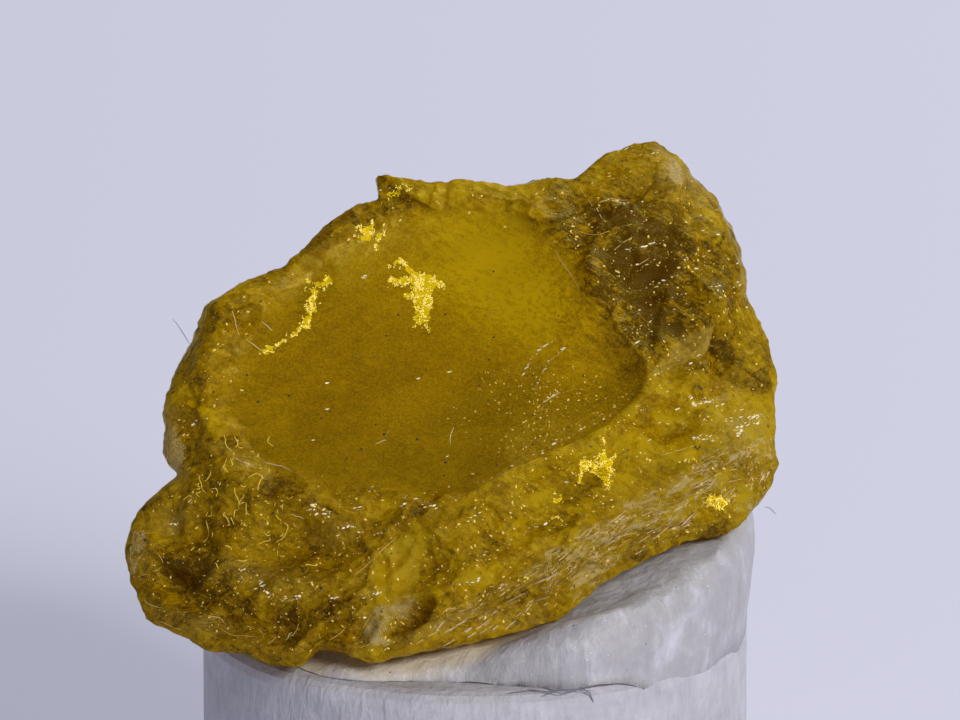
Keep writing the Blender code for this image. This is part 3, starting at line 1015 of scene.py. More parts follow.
def least(before, here, after):
    """The least of a cell and its two neighbours."""
    return np.minimum(here, np.minimum(before, after))


def mean(before, here, after):
    """The mean of a cell and its two neighbours, the cell counting twice."""
    return (before + 2 * here + after) / 4


def underside_map(places):
    """How low the stone comes over each square cell of the plan, in mm above the post's top,
    and NO_STONE where there is no stone over it."""
    cells = np.floor(places[:, :2] / MM / MAP_CELL).astype(int) + MAP_REACH
    inside = ((cells >= 0) & (cells < 2 * MAP_REACH)).all(axis=1)
    low = np.full((2 * MAP_REACH, 2 * MAP_REACH), NO_STONE)
    np.minimum.at(low, tuple(cells[inside].T), places[inside, 2] / MM - POST_HEIGHT)
    return spread(low, least, 2)


def map_lookup(grid, x, y):
    """A map's values at places (x, y), in proportion between the middles of its cells."""
    place = [np.clip(part / MAP_CELL + MAP_REACH - 0.5, 0, 2 * MAP_REACH - 2) for part in (x, y)]
    return blend(grid[..., None], *place)[..., 0]


def putty_top(low):
    """The putty's top as a map: a slope that rises to the right, pressed down by the stone,
    and beside the stone no higher than a slope of its own, steeper at the right."""
    x, y = (np.mgrid[:2 * MAP_REACH, :2 * MAP_REACH] + 0.5 - MAP_REACH) * MAP_CELL
    mound = np.maximum(MOUND_MIDDLE + MOUND_RISE[0] * x + MOUND_RISE[1] * y, MOUND_LEAST)
    rise = MAP_CELL * (0.26 + smooth_step(x, 4.0, 5.0))
    beside = spread(low, lambda before, here, after: least(before + rise, here, after + rise), 60)
    return spread(np.minimum(mound, beside - PUTTY_GAP), mean, 2)


def putty_sheets(low):
    """A pat on a disc grid: the top sheet rounds down to its border, the bottom sheet lies on
    the post, and both hang over the post's edge where the outline reaches past it. The top
    rounds off over a wide strip at the left and a narrow one at the right."""
    share, across, up = disc_grid(PUTTY_CELLS)
    turns, fars = np.array(PUTTY_OUTLINE).T
    outline = np.column_stack([fars * np.cos(np.radians(turns)), fars * np.sin(np.radians(turns))])
    reach = reach_towards(reach_table(outline, (0, 0), PUTTY_BLUR), across, up)
    wobble = soft_noise(np.stack([across, up, 0 * up], -1).reshape(-1, 3) * 5, 0.5, 271)
    reach = reach * (1 + 0.004 * wobble.reshape(share.shape))
    x, y = reach * share * across, reach * share * up
    border = PUTTY_LIFT - PUTTY_OVERHANG * smooth_step(reach, 5.02, 5.16)
    rounding = edge_falloff(share, 8 + 26 * smooth_step(across, 0.0, 0.6))
    top = border + (map_lookup(putty_top(low), x, y) - border) * rounding
    bottom = PUTTY_LIFT + (border - PUTTY_LIFT) * smooth_step(share, 0.97, 1.0)
    sheets = []
    for height in (top, bottom):
        hem = np.clip(reach - PUTTY_HEM, 0, 1) * smooth_step(height, 2.0, -PUTTY_OVERHANG)
        sheets.append(np.stack([x - hem * share * across, y - hem * share * up, height], -1))
    return two_sheets(*sheets)


def lip_share(u, v):
    """1 above the lip line, between its two ends, and 0 below it."""
    above = smooth_step(v - np.interp(u, *np.array(LIP_LINE).T), -0.03, 0.02)
    return above * smooth_step(u, 0.9, 1.4) * smooth_step(-u, -4.3, -3.7)


def stone_glow(low, x, y, height):
    """How much painted warm light, as from light shone through the stone, each place gets: how near the
    stone's underside it is, where the stone is over it or beside it, fading out to the right: e to the
    minus gap, times a blurred map of what it covers."""
    covered = map_lookup(spread((low < NO_STONE / 2).astype(float), mean, 40), x, y)
    gap = map_lookup(spread(np.minimum(low, 4.0), mean, 12), x, y) - height
    return covered * np.exp(-np.clip(gap, 0, 9) / 0.7) * smooth_step(-x, -3.0, -0.5)


def add_putty(low):
    """The pat of putty, with soft dents and a lip, and the attributes that its material reads: `bright`,
    painted light and shade from its light and shaded ovals, and `glow`, painted warm light from the
    stone."""
    points, faces = putty_sheets(low)
    world = (points + (0, 0, POST_HEIGHT)) * MM
    putty = new_piece("putty_pat", world, faces, putty_material())
    x, y, height = points.T
    u, v, _ = lean_axes() @ points.T
    front = y < 0
    dents = (layered(points, PUTTY_DENTS) - 0.012) * smooth_step(height, -PUTTY_OVERHANG, 0.1)
    lip = LIP_HEIGHT * front * lip_share(u, v) * smooth_step(height, -0.4, 0.0)
    push_out(putty, world, dents + lip)
    # Painted light and shade on the putty's front, from its ovals.
    bright = patches(u, v, PUTTY_PAINTED_LIGHT) - patches(u, v, PUTTY_PAINTED_SHADE)
    add_attribute(putty, "bright", np.clip(0.5 + 0.5 * front * bright, 0, 1))
    add_attribute(putty, "glow", stone_glow(low, x, y, height))
    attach(putty, "root")
    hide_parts("mounting_putty")
    return putty


def add_putty_sparkles(putty):
    """Tiny pale grains and a few dark ones, on vertices of the putty's front."""
    points, normals = vertex_values(putty, "co"), vertex_values(putty, "normal")
    showing = np.flatnonzero((normals[:, 1] < -0.3) & (points[:, 2] > (POST_HEIGHT - 0.2) * MM))
    for name, count, salt, size, colour in (
        ("putty_grains", 110, 281, 0.011, (1.0, 1.0, 1.0, 1)),
        ("putty_specks", 16, 285, 0.017, (0.06, 0.05, 0.06, 1)),
    ):
        chosen = showing[(chance(count, salt) * len(showing)).astype(int)]
        sizes = size * (0.5 + chance(count, salt + 1))
        turns = any_turn(count, salt + 2)
        flecks, faces = flakes(points[chosen], normals[chosen], turns, sizes, 0.7 * sizes, 0.006)
        seal_in(new_piece(name, flecks, faces, plain_material(name, colour, 0.3), False))


def on_rim(line):
    """Points of the lean frame carried level onto the post's side: x stays, y is where the
    side stands, and the height is what brings the point to the same place in the view. A point
    that comes out above the post's top is laid on it, further in."""
    u, v = spread_along(line, THREAD_STEPS).T
    lean = math.radians(LEAN_DEGREES)
    y = -np.sqrt(POST_RADIUS**2 - u**2)
    height = (v - y * math.sin(lean)) / math.cos(lean)
    inward = np.where(height > 0, height * 2.2, 0)
    return np.stack([u, y + inward, np.minimum(height, 0.01) + POST_HEIGHT], -1) * MM


def beside_stone(line):
    """Points of the lean frame, all as deep as the stone's rim is beside the line's middle."""
    u, v = spread_along(line, THREAD_STEPS).T
    return to_world(u, v, np.full(THREAD_STEPS, rim_depth(*np.array(line).mean(axis=0))))


def add_threads():
    """Dark fibres at the crack in the putty's front edge, and dust threads beside the stone."""
    dust = plain_material("Dust thread", (0.2, 0.19, 0.22, 1), 0.7)
    for name, lines, place, radius, slot in (
        ("crack_fibres", CRACK_LINES, on_rim, 0.012, "plaster"),
        ("dust_threads", DUST_THREADS, beside_stone, 0.007, "sinhalite"),
    ):
        points, faces = tubes(np.stack([place(line) for line in lines]), (0.0, -1.0, 0.0), radius)
        seal_in(new_piece(name, points, faces, dust))


# ---- what is sealed in the stone or lies on it ----

# How many points a thread has, and how many a hair has before its ends are cut off.
THREAD_STEPS = 17
HAIR_STEPS = 13
# A veil's grid: its step in mm, and its first and last steps across and up the stone.
VEIL_STEP = 0.022
VEIL_ACROSS = (-290, 255)
VEIL_UP = (-30, 385)
# The noise that frays a veil's edge.
VEIL_FRAY = ((1.0, 0.07, 203), (0.6, 0.035, 204))
# Bright flares, painted as glowing veils where light shines through the stone: closed loops of (u, v)
# points.
FLARES = {
    "fan": (
        (-1.36, 6.61), (-1.11, 6.35), (-0.52, 6.13), (-0.54, 6.06), (-0.76, 5.98), (-0.84, 5.22),
        (-0.89, 5.35), (-1.13, 5.24), (-1.1, 5.67), (-1.32, 5.89), (-1.17, 6.0), (-1.23, 6.09),
        (-1.43, 6.07), (-1.65, 6.11), (-1.63, 6.2), (-1.21, 6.22), (-1.26, 6.33), (-1.43, 6.46),
        (-1.65, 6.32), (-1.58, 6.46),
    ),
    "streak bar": (
        (-3.21, 6.24), (-2.82, 6.06), (-2.67, 6.13), (-2.64, 6.22), (-2.77, 6.28), (-2.95, 6.11),
    ),
    "streak": (
        (-2.9, 6.04), (-2.9, 5.67), (-3.07, 5.31), (-3.92, 4.77), (-3.96, 4.83), (-3.34, 5.2),
        (-3.12, 5.54), (-3.08, 6.06),
    ),
    "small": (
        (-1.88, 7.23), (-1.84, 7.1), (-2.01, 6.84), (-2.23, 6.95), (-2.12, 7.02), (-2.19, 7.15),
        (-2.06, 7.13),
    ),
    "small crinkle": ((-1.71, 7.17), (-1.69, 7.06), (-1.82, 6.78), (-1.84, 6.91)),
    "top left": ((-1.65, 7.84), (-1.24, 7.91), (-1.21, 7.84), (-1.62, 7.76)),
    "star": (
        (2.36, 3.31), (2.4, 3.01), (2.47, 2.88), (2.64, 2.97), (2.51, 2.49), (2.4, 2.32), (2.32, 2.41),
        (2.25, 2.6), (2.14, 2.71), (2.02, 2.64), (1.95, 2.45), (1.91, 2.49), (1.93, 2.71), (1.88, 2.84),
        (2.02, 2.88), (2.25, 2.82), (2.34, 2.97),
    ),
    "round": ((4.27, 2.12), (4.4, 2.19), (4.59, 2.17), (4.74, 2.08), (4.76, 1.97), (4.46, 1.89)),
    "mark": ((1.67, 2.27), (1.62, 2.15), (1.52, 2.1), (1.47, 2.14), (1.49, 2.27), (1.54, 2.14)),
    "lower mark": ((1.5, 1.93), (1.58, 1.76), (1.54, 1.86), (1.47, 1.73), (1.43, 1.78)),
}
# Threads: open lines of (u, v) points.
YELLOW_HAIRS = (
    ((-4.68, 3.33), (-4.57, 3.21), (-4.63, 3.07), (-4.44, 2.92)),
    ((-4.44, 3.25), (-4.35, 3.12), (-4.44, 3.03)), ((-4.55, 2.84), (-4.61, 2.66), (-4.57, 2.51)),
    ((-5.11, 2.56), (-5.02, 2.4), (-4.98, 2.25), (-4.89, 2.21)),
    ((-4.89, 2.3), (-4.77, 2.3), (-4.74, 2.19)),
    ((-4.92, 1.99), (-5.02, 1.82), (-4.98, 1.67), (-5.15, 1.28)),
    ((-4.92, 1.99), (-4.9, 1.86), (-5.0, 1.82)), ((-4.18, 2.41), (-3.9, 2.51)),
    ((-3.9, 2.51), (-3.99, 2.21)), ((-4.22, 2.12), (-4.24, 1.93), (-4.18, 1.84)),
    ((-4.33, 2.04), (-4.24, 2.08)), ((-4.53, 1.82), (-4.51, 1.67)),
    ((-3.49, 1.78), (-3.57, 1.6), (-3.68, 1.47), (-3.79, 1.1)), ((-3.6, 1.52), (-3.79, 1.41)),
    ((-3.53, 2.04), (-3.55, 1.93)), ((-3.7, 2.08), (-3.72, 1.97)), ((-5.28, 1.32), (-5.29, 1.21)),
    ((-4.77, 0.95), (-4.72, 0.8)), ((-3.31, 0.95), (-2.99, 1.02)),
)
PALE_HAIRS = (
    ((-3.96, 2.82), (-3.68, 2.77), (-3.31, 2.6)), ((-4.48, 2.88), (-4.29, 2.73), (-3.98, 2.62)),
    ((-3.46, 1.89), (-3.16, 1.84)), ((-3.57, -0.43), (-3.42, -0.22)),
    ((-4.61, 5.83), (-4.44, 5.42), (-4.35, 5.05)), ((-3.99, 5.44), (-3.7, 5.18)),
    ((-4.25, 5.05), (-3.86, 4.77)), ((-0.39, 3.49), (-0.45, 3.29), (-0.45, 3.07)),
    ((1.17, 3.86), (1.62, 4.12)), ((-1.89, 3.12), (-1.56, 3.23)), ((2.19, 7.65), (2.45, 7.19)),
    ((2.19, 7.65), (2.6, 7.73), (3.03, 7.69)),
)
# Thin pale lines where two faces meet, and along the flow of the band.
CREST_LINES = (
    ((3.34, 2.95), (3.99, 3.07), (4.24, 3.16)), ((3.99, 2.64), (4.18, 2.82), (4.4, 2.92), (5.44, 3.14)),
    ((3.73, 2.49), (4.18, 2.67), (4.59, 2.77)),
    ((4.27, 2.32), (4.59, 2.45), (5.02, 2.51), (5.41, 2.47)),
    ((2.73, 1.99), (3.07, 2.12), (3.44, 2.19)), ((3.99, 2.14), (4.48, 2.43)),
    ((4.33, 2.53), (4.74, 2.66), (5.15, 2.71)), ((1.21, 0.97), (1.43, 1.19), (1.62, 1.28)),
    ((2.32, 1.24), (2.69, 1.43), (3.07, 1.52)), ((1.86, 0.97), (2.32, 1.1), (2.73, 1.32), (3.07, 1.41)),
    ((-0.65, -0.09), (-0.43, 0.07), (-0.09, 0.2)), ((-0.54, 0.0), (-0.35, 0.13)),
    ((-0.43, -0.11), (-0.32, 0.07)), ((-6.04, -0.19), (-5.76, -0.28), (-5.28, -0.3)),
    ((-5.18, 0.0), (-4.83, 0.02), (-4.7, -0.11)),
    ((-4.87, -0.11), (-4.51, -0.37), (-4.25, -0.32), (-3.96, -0.41)),
    ((-4.37, -0.11), (-4.09, -0.19), (-3.92, -0.33)), ((-3.57, -0.41), (-3.4, -0.3), (-3.23, -0.06)),
    ((-2.73, -0.54), (-2.4, -0.11)), ((-2.92, -0.11), (-2.86, -0.33), (-2.92, -0.52), (-2.8, -0.61)),
    ((-6.35, 0.63), (-5.89, 0.85), (-5.8, 0.97)), ((-6.41, 0.69), (-6.04, 1.19), (-5.96, 1.24)),
    ((-5.89, 1.19), (-5.8, 1.04), (-5.81, 0.85)), ((-6.22, 0.26), (-5.63, 0.07)),
    ((-2.25, -0.41), (-2.1, -0.15), (-1.8, 0.11), (-1.43, 0.26)), ((-2.23, -0.63), (-1.76, -0.45)),
    ((-1.36, -0.65), (-0.65, -0.37), (-0.43, -0.19)), ((-3.85, -0.71), (-3.7, -0.3)),
    ((-2.47, 0.54), (-1.32, 1.56)), ((1.86, 8.02), (2.14, 7.73), (2.27, 7.43)),
    ((2.1, 7.69), (2.92, 7.84)), ((1.76, 7.17), (2.32, 7.06), (3.1, 7.28)),
    ((2.84, 6.39), (3.36, 6.72)), ((3.07, 7.06), (2.54, 6.76)),
    ((1.36, 6.91), (1.88, 6.06), (2.14, 5.8)),
)
DUST_THREADS = (
    ((-5.63, 5.46), (-5.52, 5.33), (-5.41, 5.16), (-5.29, 4.96)),
    ((5.33, 1.97), (5.44, 1.95), (5.57, 1.82)),
)
# Places (u, v) of the larger dark specks.
DARK_SPECKS = (
    (-4.79, 0.28), (-5.52, 0.52), (-5.31, 0.0), (-3.57, -0.8), (-5.18, 3.14), (-1.06, 3.23),
    (-1.06, 1.82), (-1.67, 3.31), (-6.06, 1.34), (-5.5, 1.0), (-2.82, 0.5), (-3.21, 0.85),
    (-1.97, 0.19), (-2.04, 1.21), (-2.66, 1.89), (-6.15, 0.69), (-0.54, 2.79), (4.07, 3.08),
    (4.1, 3.04), (4.15, 3.1), (4.89, 4.07), (4.14, 4.2), (4.2, 4.16), (5.45, 3.47),
)
# Runs of tiny bright chips that paint glints: the line they follow, how far they stray, and how many
# there are.
GLINT_RUNS = (
    (((-3.1, 1.98), (-2.62, 1.86)), 0.05, 24), (((-2.5, 2.06), (-2.05, 2.0)), 0.04, 10),
    (((-1.92, 2.18), (-1.8, 2.34)), 0.06, 12), (((-1.38, 2.2), (-1.22, 2.18)), 0.04, 7),
    (((-1.33, 2.08), (-0.6, 1.93)), 0.03, 28), (((-2.38, 1.69), (-2.1, 1.58)), 0.05, 10),
    (((-1.8, 1.5), (-1.4, 1.6)), 0.04, 8), (((-4.0, 0.66), (-3.66, 0.28), (-3.15, 0.33)), 0.04, 40),
    (((-2.6, 0.31), (-2.5, 0.34)), 0.03, 5), (((-2.06, 0.34), (-1.7, 0.42)), 0.03, 18),
    (((-4.5, 1.0), (-4.0, 0.8)), 0.16, 14), (((-5.72, 1.6), (-5.58, 1.84)), 0.06, 10),
    (((-5.22, 2.0), (-5.1, 2.26)), 0.06, 9), (((-5.3, 3.48), (-5.2, 3.58)), 0.03, 4),
    (((3.98, 3.86), (4.4, 3.92)), 0.03, 26), (((4.45, 4.17), (4.58, 4.24)), 0.03, 5),
    (((5.05, 3.55), (5.38, 3.64)), 0.08, 34), (((4.8, 3.32), (5.0, 3.42)), 0.06, 18),
    (((4.02, 3.27), (4.48, 3.24)), 0.04, 26), (((-0.22, 0.6), (0.08, 0.66)), 0.02, 8),
    (((0.98, 1.58), (1.2, 1.86)), 0.06, 12), (((-0.1, 1.76), (0.18, 1.86)), 0.05, 8),
    (((2.95, 3.78), (3.2, 3.84)), 0.04, 6), (((-2.06, 6.22), (-1.98, 6.32)), 0.04, 5),
    (((3.5, 8.0), (4.1, 8.2)), 0.15, 10), (((2.75, 8.5), (3.4, 8.62)), 0.08, 8),
    (((0.2, 1.2), (3.8, 3.6)), 0.4, 40), (((-5.6, 0.8), (0.0, 1.2)), 0.5, 32),
    (((-5.0, -0.3), (-1.0, 0.1)), 0.25, 20), (((2.84, 6.76), (3.31, 6.89), (3.57, 6.97)), 0.03, 12),
    (((3.05, 6.52), (3.4, 6.61)), 0.03, 7), (((3.83, 6.67), (4.18, 6.52)), 0.05, 9),
    (((4.33, 6.52), (4.46, 6.56)), 0.02, 5), (((4.27, 6.09), (4.89, 6.07)), 0.04, 12),
    (((3.12, 6.09), (3.77, 6.3)), 0.03, 9), (((2.69, 7.43), (3.16, 7.28)), 0.04, 8),
    (((4.33, 5.74), (4.48, 5.68)), 0.03, 5), (((2.95, 5.28), (3.57, 5.65)), 0.03, 8),
    (((3.3, 5.0), (5.2, 4.6)), 0.3, 16), (((3.4, 3.9), (5.4, 3.4)), 0.25, 40),
    (((1.1, 4.12), (1.23, 4.42), (1.36, 4.64), (1.67, 4.9)), 0.012, 26),
    (((0.89, 4.42), (1.04, 4.7), (1.23, 4.9), (1.47, 5.05)), 0.012, 22),
    (((0.07, 2.41), (1.43, 3.08), (2.54, 3.7), (3.59, 4.57)), 0.03, 30),
    (((1.34, 3.98), (1.58, 4.12)), 0.01, 6), (((-4.8, 4.0), (2.4, 4.6)), 1.2, 26),
    (((4.3, 7.6), (5.0, 5.4)), 0.25, 14),
)


# The way most glint chips face: halfway between the viewer and the light at the front.
GLINT_FACING = (0.24, -0.88, 0.41)
# The fields over which specks and grit are scattered: the low corner (u, v) and the size.
SPECK_FIELD = ((-5.6, -0.3), (10.6, 8.0))
GRIT_FIELD = ((-6.3, -0.9), (11.8, 9.6))
# The ovals over which scribbles and gold flecks are scattered: the middle, and the reach along
# u and v.
SCRIBBLE_OVAL = ((-4.3, 2.05), (1.05, 1.15))
GOLD_OVAL = ((1.15, 3.75), (1.7, 0.9))


def spread_along(line, count):
    """Points evenly spaced along a line of (u, v) points, straight from one to the next."""
    line = np.array(line)
    steps = np.hypot(*np.diff(line, axis=0).T)
    run = np.concatenate([[0], np.cumsum(steps)])
    place = np.linspace(0, run[-1], count)
    return np.column_stack([np.interp(place, run, line[:, 0]), np.interp(place, run, line[:, 1])])


def inside_loop(points, loop):
    """True where a point is inside a closed loop: a line from it to the right crosses the
    loop an odd number of times."""
    inside = np.zeros(len(points), bool)
    for (u0, v0), (u1, v1) in zip(loop, loop[1:] + loop[:1]):
        spans = (v0 > points[:, 1]) != (v1 > points[:, 1])
        where = u0 + (points[:, 1] - v0) / (v1 - v0 + 1e-9) * (u1 - u0)
        inside ^= spans & (points[:, 0] < where)
    return inside


def unit(vectors):
    """Each vector brought to length 1."""
    return vectors / (np.linalg.norm(vectors, axis=-1, keepdims=True) + 1e-12)


def sideways(normals):
    """Two directions at right angles to each normal, level first."""
    level = unit(np.cross((0.0, 0.0, 1.0), normals))
    return level, np.cross(normals, level)


# One flake: a ring of six corners, a tip above it and a tip below, and the faces from the ring
# to both tips. It reaches about 1 each way, and scales by its half length, width and thickness.
FLAKE_CORNERS = np.array([
    (1, 0, 0), (0.4, 0.8, 0), (-0.5, 0.9, 0), (-1, 0, 0), (-0.4, -0.8, 0), (0.6, -0.7, 0),
    (0, 0, 1), (0, 0, -1),
])
FLAKE_RING = np.arange(6)
FLAKE_FACES = np.concatenate([
    np.stack([FLAKE_RING, np.roll(FLAKE_RING, -1), np.full(6, 6)], -1),
    np.stack([np.roll(FLAKE_RING, -1), FLAKE_RING, np.full(6, 7)], -1),
])


def flakes(centres, normals, turns, long, wide, thick):
    """Flat six-sided crystals, pointed above and below: each is one shape, scaled to its
    half length, half width and half thickness, turned about its normal and set down."""
    level, slope = sideways(normals)
    cos, sin = np.cos(turns)[:, None], np.sin(turns)[:, None]
    along, across = level * cos + slope * sin, slope * cos - level * sin
    frames = [
        axis * np.asarray(half)[..., None]
        for axis, half in ((along, long), (across, wide), (normals, thick))
    ]
    points = centres[:, None] + np.einsum("kc,ncd->nkd", FLAKE_CORNERS, np.stack(frames, 1) * MM)
    faces = FLAKE_FACES + len(FLAKE_CORNERS) * np.arange(len(centres))[:, None, None]
    return points.reshape(-1, 3), faces.reshape(-1, 3)


def any_turn(count, salt):
    """A turn in radians for each of `count` things, anything up to a whole one."""
    return 6.3 * chance(count, salt)


def over_field(count, salt, field):
    """Places (u, v) scattered evenly over a field."""
    corner, size = field
    return chances(count, salt, 2) * size + corner


def over_oval(turn, far, oval):
    """Places (u, v) about an oval's middle: its reach each way times how far out each place
    is, times the cosine and the sine of its turn."""
    middle, reach = np.array(oval)
    return middle + reach * far[:, None] * np.column_stack([np.cos(turn), np.sin(turn)])


def strew(skin, name, places, lift, turns, long, wide, thick, material):
    """One piece of many flakes, set down on the skin at places (u, v), `lift` mm above it."""
    centres, normals = skin.at(*places.T, lift)
    points, faces = flakes(centres, normals, turns, long, wide, thick)
    seal_in(new_piece(name, points, faces, material, False))


def tubes(paths, normals, radius):
    """Thin six-sided threads along paths of points, thinning nearly to a point at both ends,
    each of which is closed by two faces."""
    count, steps = paths.shape[:2]
    taper = np.sqrt(np.clip(1 - np.linspace(-1, 1, steps) ** 2, 0, 1))
    ahead = unit(np.gradient(paths, axis=1))
    side = unit(np.cross(ahead, normals))
    out = np.cross(side, ahead)
    turn = np.arange(6) * math.pi / 3
    ring = side[:, :, None] * np.cos(turn)[:, None] + out[:, :, None] * np.sin(turn)[:, None]
    ring *= (0.02 + 0.98 * taper)[None, :, None, None] * radius * MM
    points = (paths[:, :, None] + ring).reshape(-1, 3)
    ids = np.arange(steps * 6).reshape(steps, 6)
    start = np.array([(5, 4, 3, 2), (5, 2, 1, 0)])
    end = start[:, ::-1] + (steps - 1) * 6
    faces = np.concatenate([grid_quads(np.concatenate([ids, ids[:, :1]], 1).T), start, end])
    faces = faces + steps * 6 * np.arange(count)[:, None, None]
    return points, faces.reshape(-1, 4)


def seal_in(obj):
    """Fixes a small piece to the object."""
    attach(obj, "root")


def far_inside(points, loop):
    """How far each point is inside a closed loop, in mm: the distance to its nearest side,
    and below 0 outside."""
    nearest = np.full(len(points), 99.0)
    for start, end in zip(np.array(loop), np.array(loop[1:] + loop[:1])):
        side = end - start
        along = np.clip((points - start) @ side / (side @ side), 0, 1)
        nearest = np.minimum(nearest, np.hypot(*(points - start - along[:, None] * side).T))
    return np.where(inside_loop(points, loop), nearest, -nearest)


def add_veil(skin, name, loops, choose, size, lift, colour, light=0.0):
    """A patch at the skin, built of tiny flakes on a fine scattered grid. `choose` picks them by how
    deep inside the loops they are, by a fraying noise, and by a web of noise. With `light` above 0 the
    flakes glow: painted light, not a lamp."""
    steps = np.mgrid[slice(*VEIL_ACROSS), slice(*VEIL_UP)].reshape(2, -1).T
    cells = np.column_stack([steps, steps[:, 0] * 0])
    places = (steps + cell_numbers(cells, 201, 2)) * VEIL_STEP
    depth = np.max([far_inside(places, loop) for loop in loops], axis=0)
    places, depth = places[depth > -0.09], depth[depth > -0.09]
    flat = np.column_stack([places, places[:, 0] * 0])
    web = soft_noise(warped(flat, 0.1, 206), 0.075, 209)
    chosen = places[choose(depth, layered(flat, VEIL_FRAY), web)]
    veil = plain_material(
        name, colour, 0.5, Specular_IOR_Level=0.1, Emission_Color=colour, Emission_Strength=light
    )
    strew(skin, name, chosen, lift, any_turn(len(chosen), 205), size, size * 0.85, 0.004, veil)


def deep_ground(depth, fray, web):
    """All of a loop, with a frayed edge."""
    return depth + 0.05 * fray > 0.02


def crinkled(depth, fray, web):
    """Only the threads of the web, broader towards the middle of a loop."""
    return (np.abs(web) < 0.2 + 0.6 * np.clip(depth, 0, 0.2)) & (depth + 0.06 * fray > -0.01)


def crusted(depth, fray, web):
    """Nearly all of a loop, but for the web's threads and some frayed gaps."""
    return (depth + 0.05 * fray > 0.0) & (fray > -0.45) & (np.abs(web) > 0.06)


def add_hairs(skin, name, lines, radius, lift, material):
    """Thin threads on the skin along lines of (u, v) points: each line is spread evenly, made
    to waver by noise, and smoothed by taking the mean of every three points."""
    places = np.stack([spread_along(line, HAIR_STEPS) for line in lines])
    flat = np.dstack([places, places[..., :1]]).reshape(-1, 3)
    places = places + 0.035 * noise_push(flat, 0.1, 211, 2).reshape(places.shape)
    paths, normals = skin.at(places[..., 0], places[..., 1], lift)
    paths = (paths + np.roll(paths, 1, 1) + np.roll(paths, -1, 1)) / 3
    points, faces = tubes(paths[:, 1:-1], normals[:, 1:-1], radius)
    seal_in(new_piece(name, points, faces, material))


def scribbles():
    """Short crooked threads scattered over the lobe: each is a few steps in directions that
    keep turning."""
    count = 46
    turn, far = any_turn(count, 261), np.sqrt(chance(count, 262))
    middles = over_oval(turn, far, SCRIBBLE_OVAL)
    bends = chances(count, 265, 5) - 0.5
    heading = 1.6 + 1.2 * (chance(count, 263) - 0.5)[:, None] + np.cumsum(3.4 * bends, axis=1)
    size = 0.02 + 0.07 * chance(count, 264)[:, None] ** 2
    steps = np.stack([size * np.cos(heading), size * np.sin(heading)], -1)
    return tuple(middles[:, None] + np.cumsum(steps, axis=1))


def add_glints(skin):
    """Tiny bright chips along their runs, each strayed a little, and tilted a little from GLINT_FACING.
    They paint glints: their pale colour is a painted highlight, and their gloss also catches the front
    light. Most are small and a few are large."""
    places = []
    for number, (line, stray, many) in enumerate(GLINT_RUNS):
        push = chances(many, 300 + 3 * number, 2) - 0.5
        places.append(spread_along(line, many) + push * 2.4 * stray)
    places = np.concatenate(places)
    count = len(places)
    centres, _ = skin.at(*places.T, 0.006)
    normals = unit(np.array(GLINT_FACING) + 0.35 * (chances(count, 213, 3) - 0.5))
    size = 0.005 + 0.024 * chance(count, 207) ** 4
    turns = 0.25 + 0.8 * (chance(count, 208) - 0.5)
    slim = 0.35 + 0.65 * chance(count, 216)
    points, faces = flakes(centres, normals, turns, size * 2.2, size * slim, 0.006)
    # The chips' pale colour paints the glint; their gloss is real.
    shine = plain_material(
        "Glint chip", (1.0, 0.9, 0.6, 1), 0.22, Specular_IOR_Level=1.0,
        Specular_Tint=(1.0, 0.9, 0.62, 1),
    )
    seal_in(new_piece("glint_chips", points, faces, shine, False))


def add_specks(skin):
    """Dark specks: larger ones, all of one size, and small ones scattered over the stone."""
    scattered = over_field(150, 221, SPECK_FIELD)
    places = np.concatenate([DARK_SPECKS, scattered[stone_share(*scattered.T) < 0.9]])
    count = len(places)
    size = 0.01 + 0.018 * chance(count, 223) ** 2
    size[:len(DARK_SPECKS)] = 0.035
    dark = plain_material("Dark speck", (0.03, 0.018, 0.01, 1), 0.6)
    strew(skin, "dark_specks", places, 0.0, any_turn(count, 224), size, size, size * 0.6, dark)


def add_grit(skin, name, count, salt, colour):
    """Tiny flakes all over the stone's rough parts: places outside the bowl are kept."""
    places = over_field(count, salt, GRIT_FIELD)
    outside_bowl = bowl_share(*places.T) > 0.8 + 0.3 * chance(count, salt + 2)
    places = places[(stone_share(*places.T) < 0.96) & outside_bowl]
    count = len(places)
    size = 0.006 + 0.016 * chance(count, salt + 3) ** 2
    turns = any_turn(count, salt + 4)
    grit = plain_material(name, colour, 0.4)
    strew(skin, name, places, 0.001, turns, size * 1.8, size, 0.005, grit)


def add_bowl_flecks(skin):
    """Fine gold flecks in the bowl's lower right, thickest in the middle of their patch."""
    count = 300
    turn, far = any_turn(count, 291), chance(count, 292) ** 0.7
    places = over_oval(turn, far, GOLD_OVAL)
    size = 0.005 + 0.011 * chance(count, 293) ** 2
    gold = plain_material("Gold fleck", (1.0, 0.7, 0.12, 1), 0.35)
    strew(skin, "gold_flecks", places, 0.001, turn, size * 1.8, size, 0.005, gold)


def add_splinters(skin):
    """Frosted splinters lying along the band, each turned close to the band's own slope."""
    count = 260
    places = spread_along(BAND_LINE, count) + (chances(count, 231, 2) - 0.5) * (0.5, 0.85)
    turns = math.radians(29) + (chance(count, 233) - 0.5) * 0.22
    long = 0.05 + 0.22 * chance(count, 234) ** 2
    wide = 0.007 + 0.01 * chance(count, 235)
    frost = plain_material("Frosted splinter", (0.6, 0.44, 0.24, 1), 0.55)
    strew(skin, "frosted_splinters", places, -0.002, turns, long, wide, 0.006, frost)


# ---- floor, light and camera ----

# The floor's radius and the height that the lights look at, in metres.
FLOOR_RADIUS = 1.5
AIM_HEIGHT = 0.01
# The width of what the camera sees and its middle, in mm of the lean frame.
VIEW_WIDTH = 17.834
VIEW_CENTRE_U = 0.093
VIEW_CENTRE_V = 4.681
# The camera's own lens and sensor, in mm.
CAMERA_LENS = 600.0
SENSOR_WIDTH = 36.0


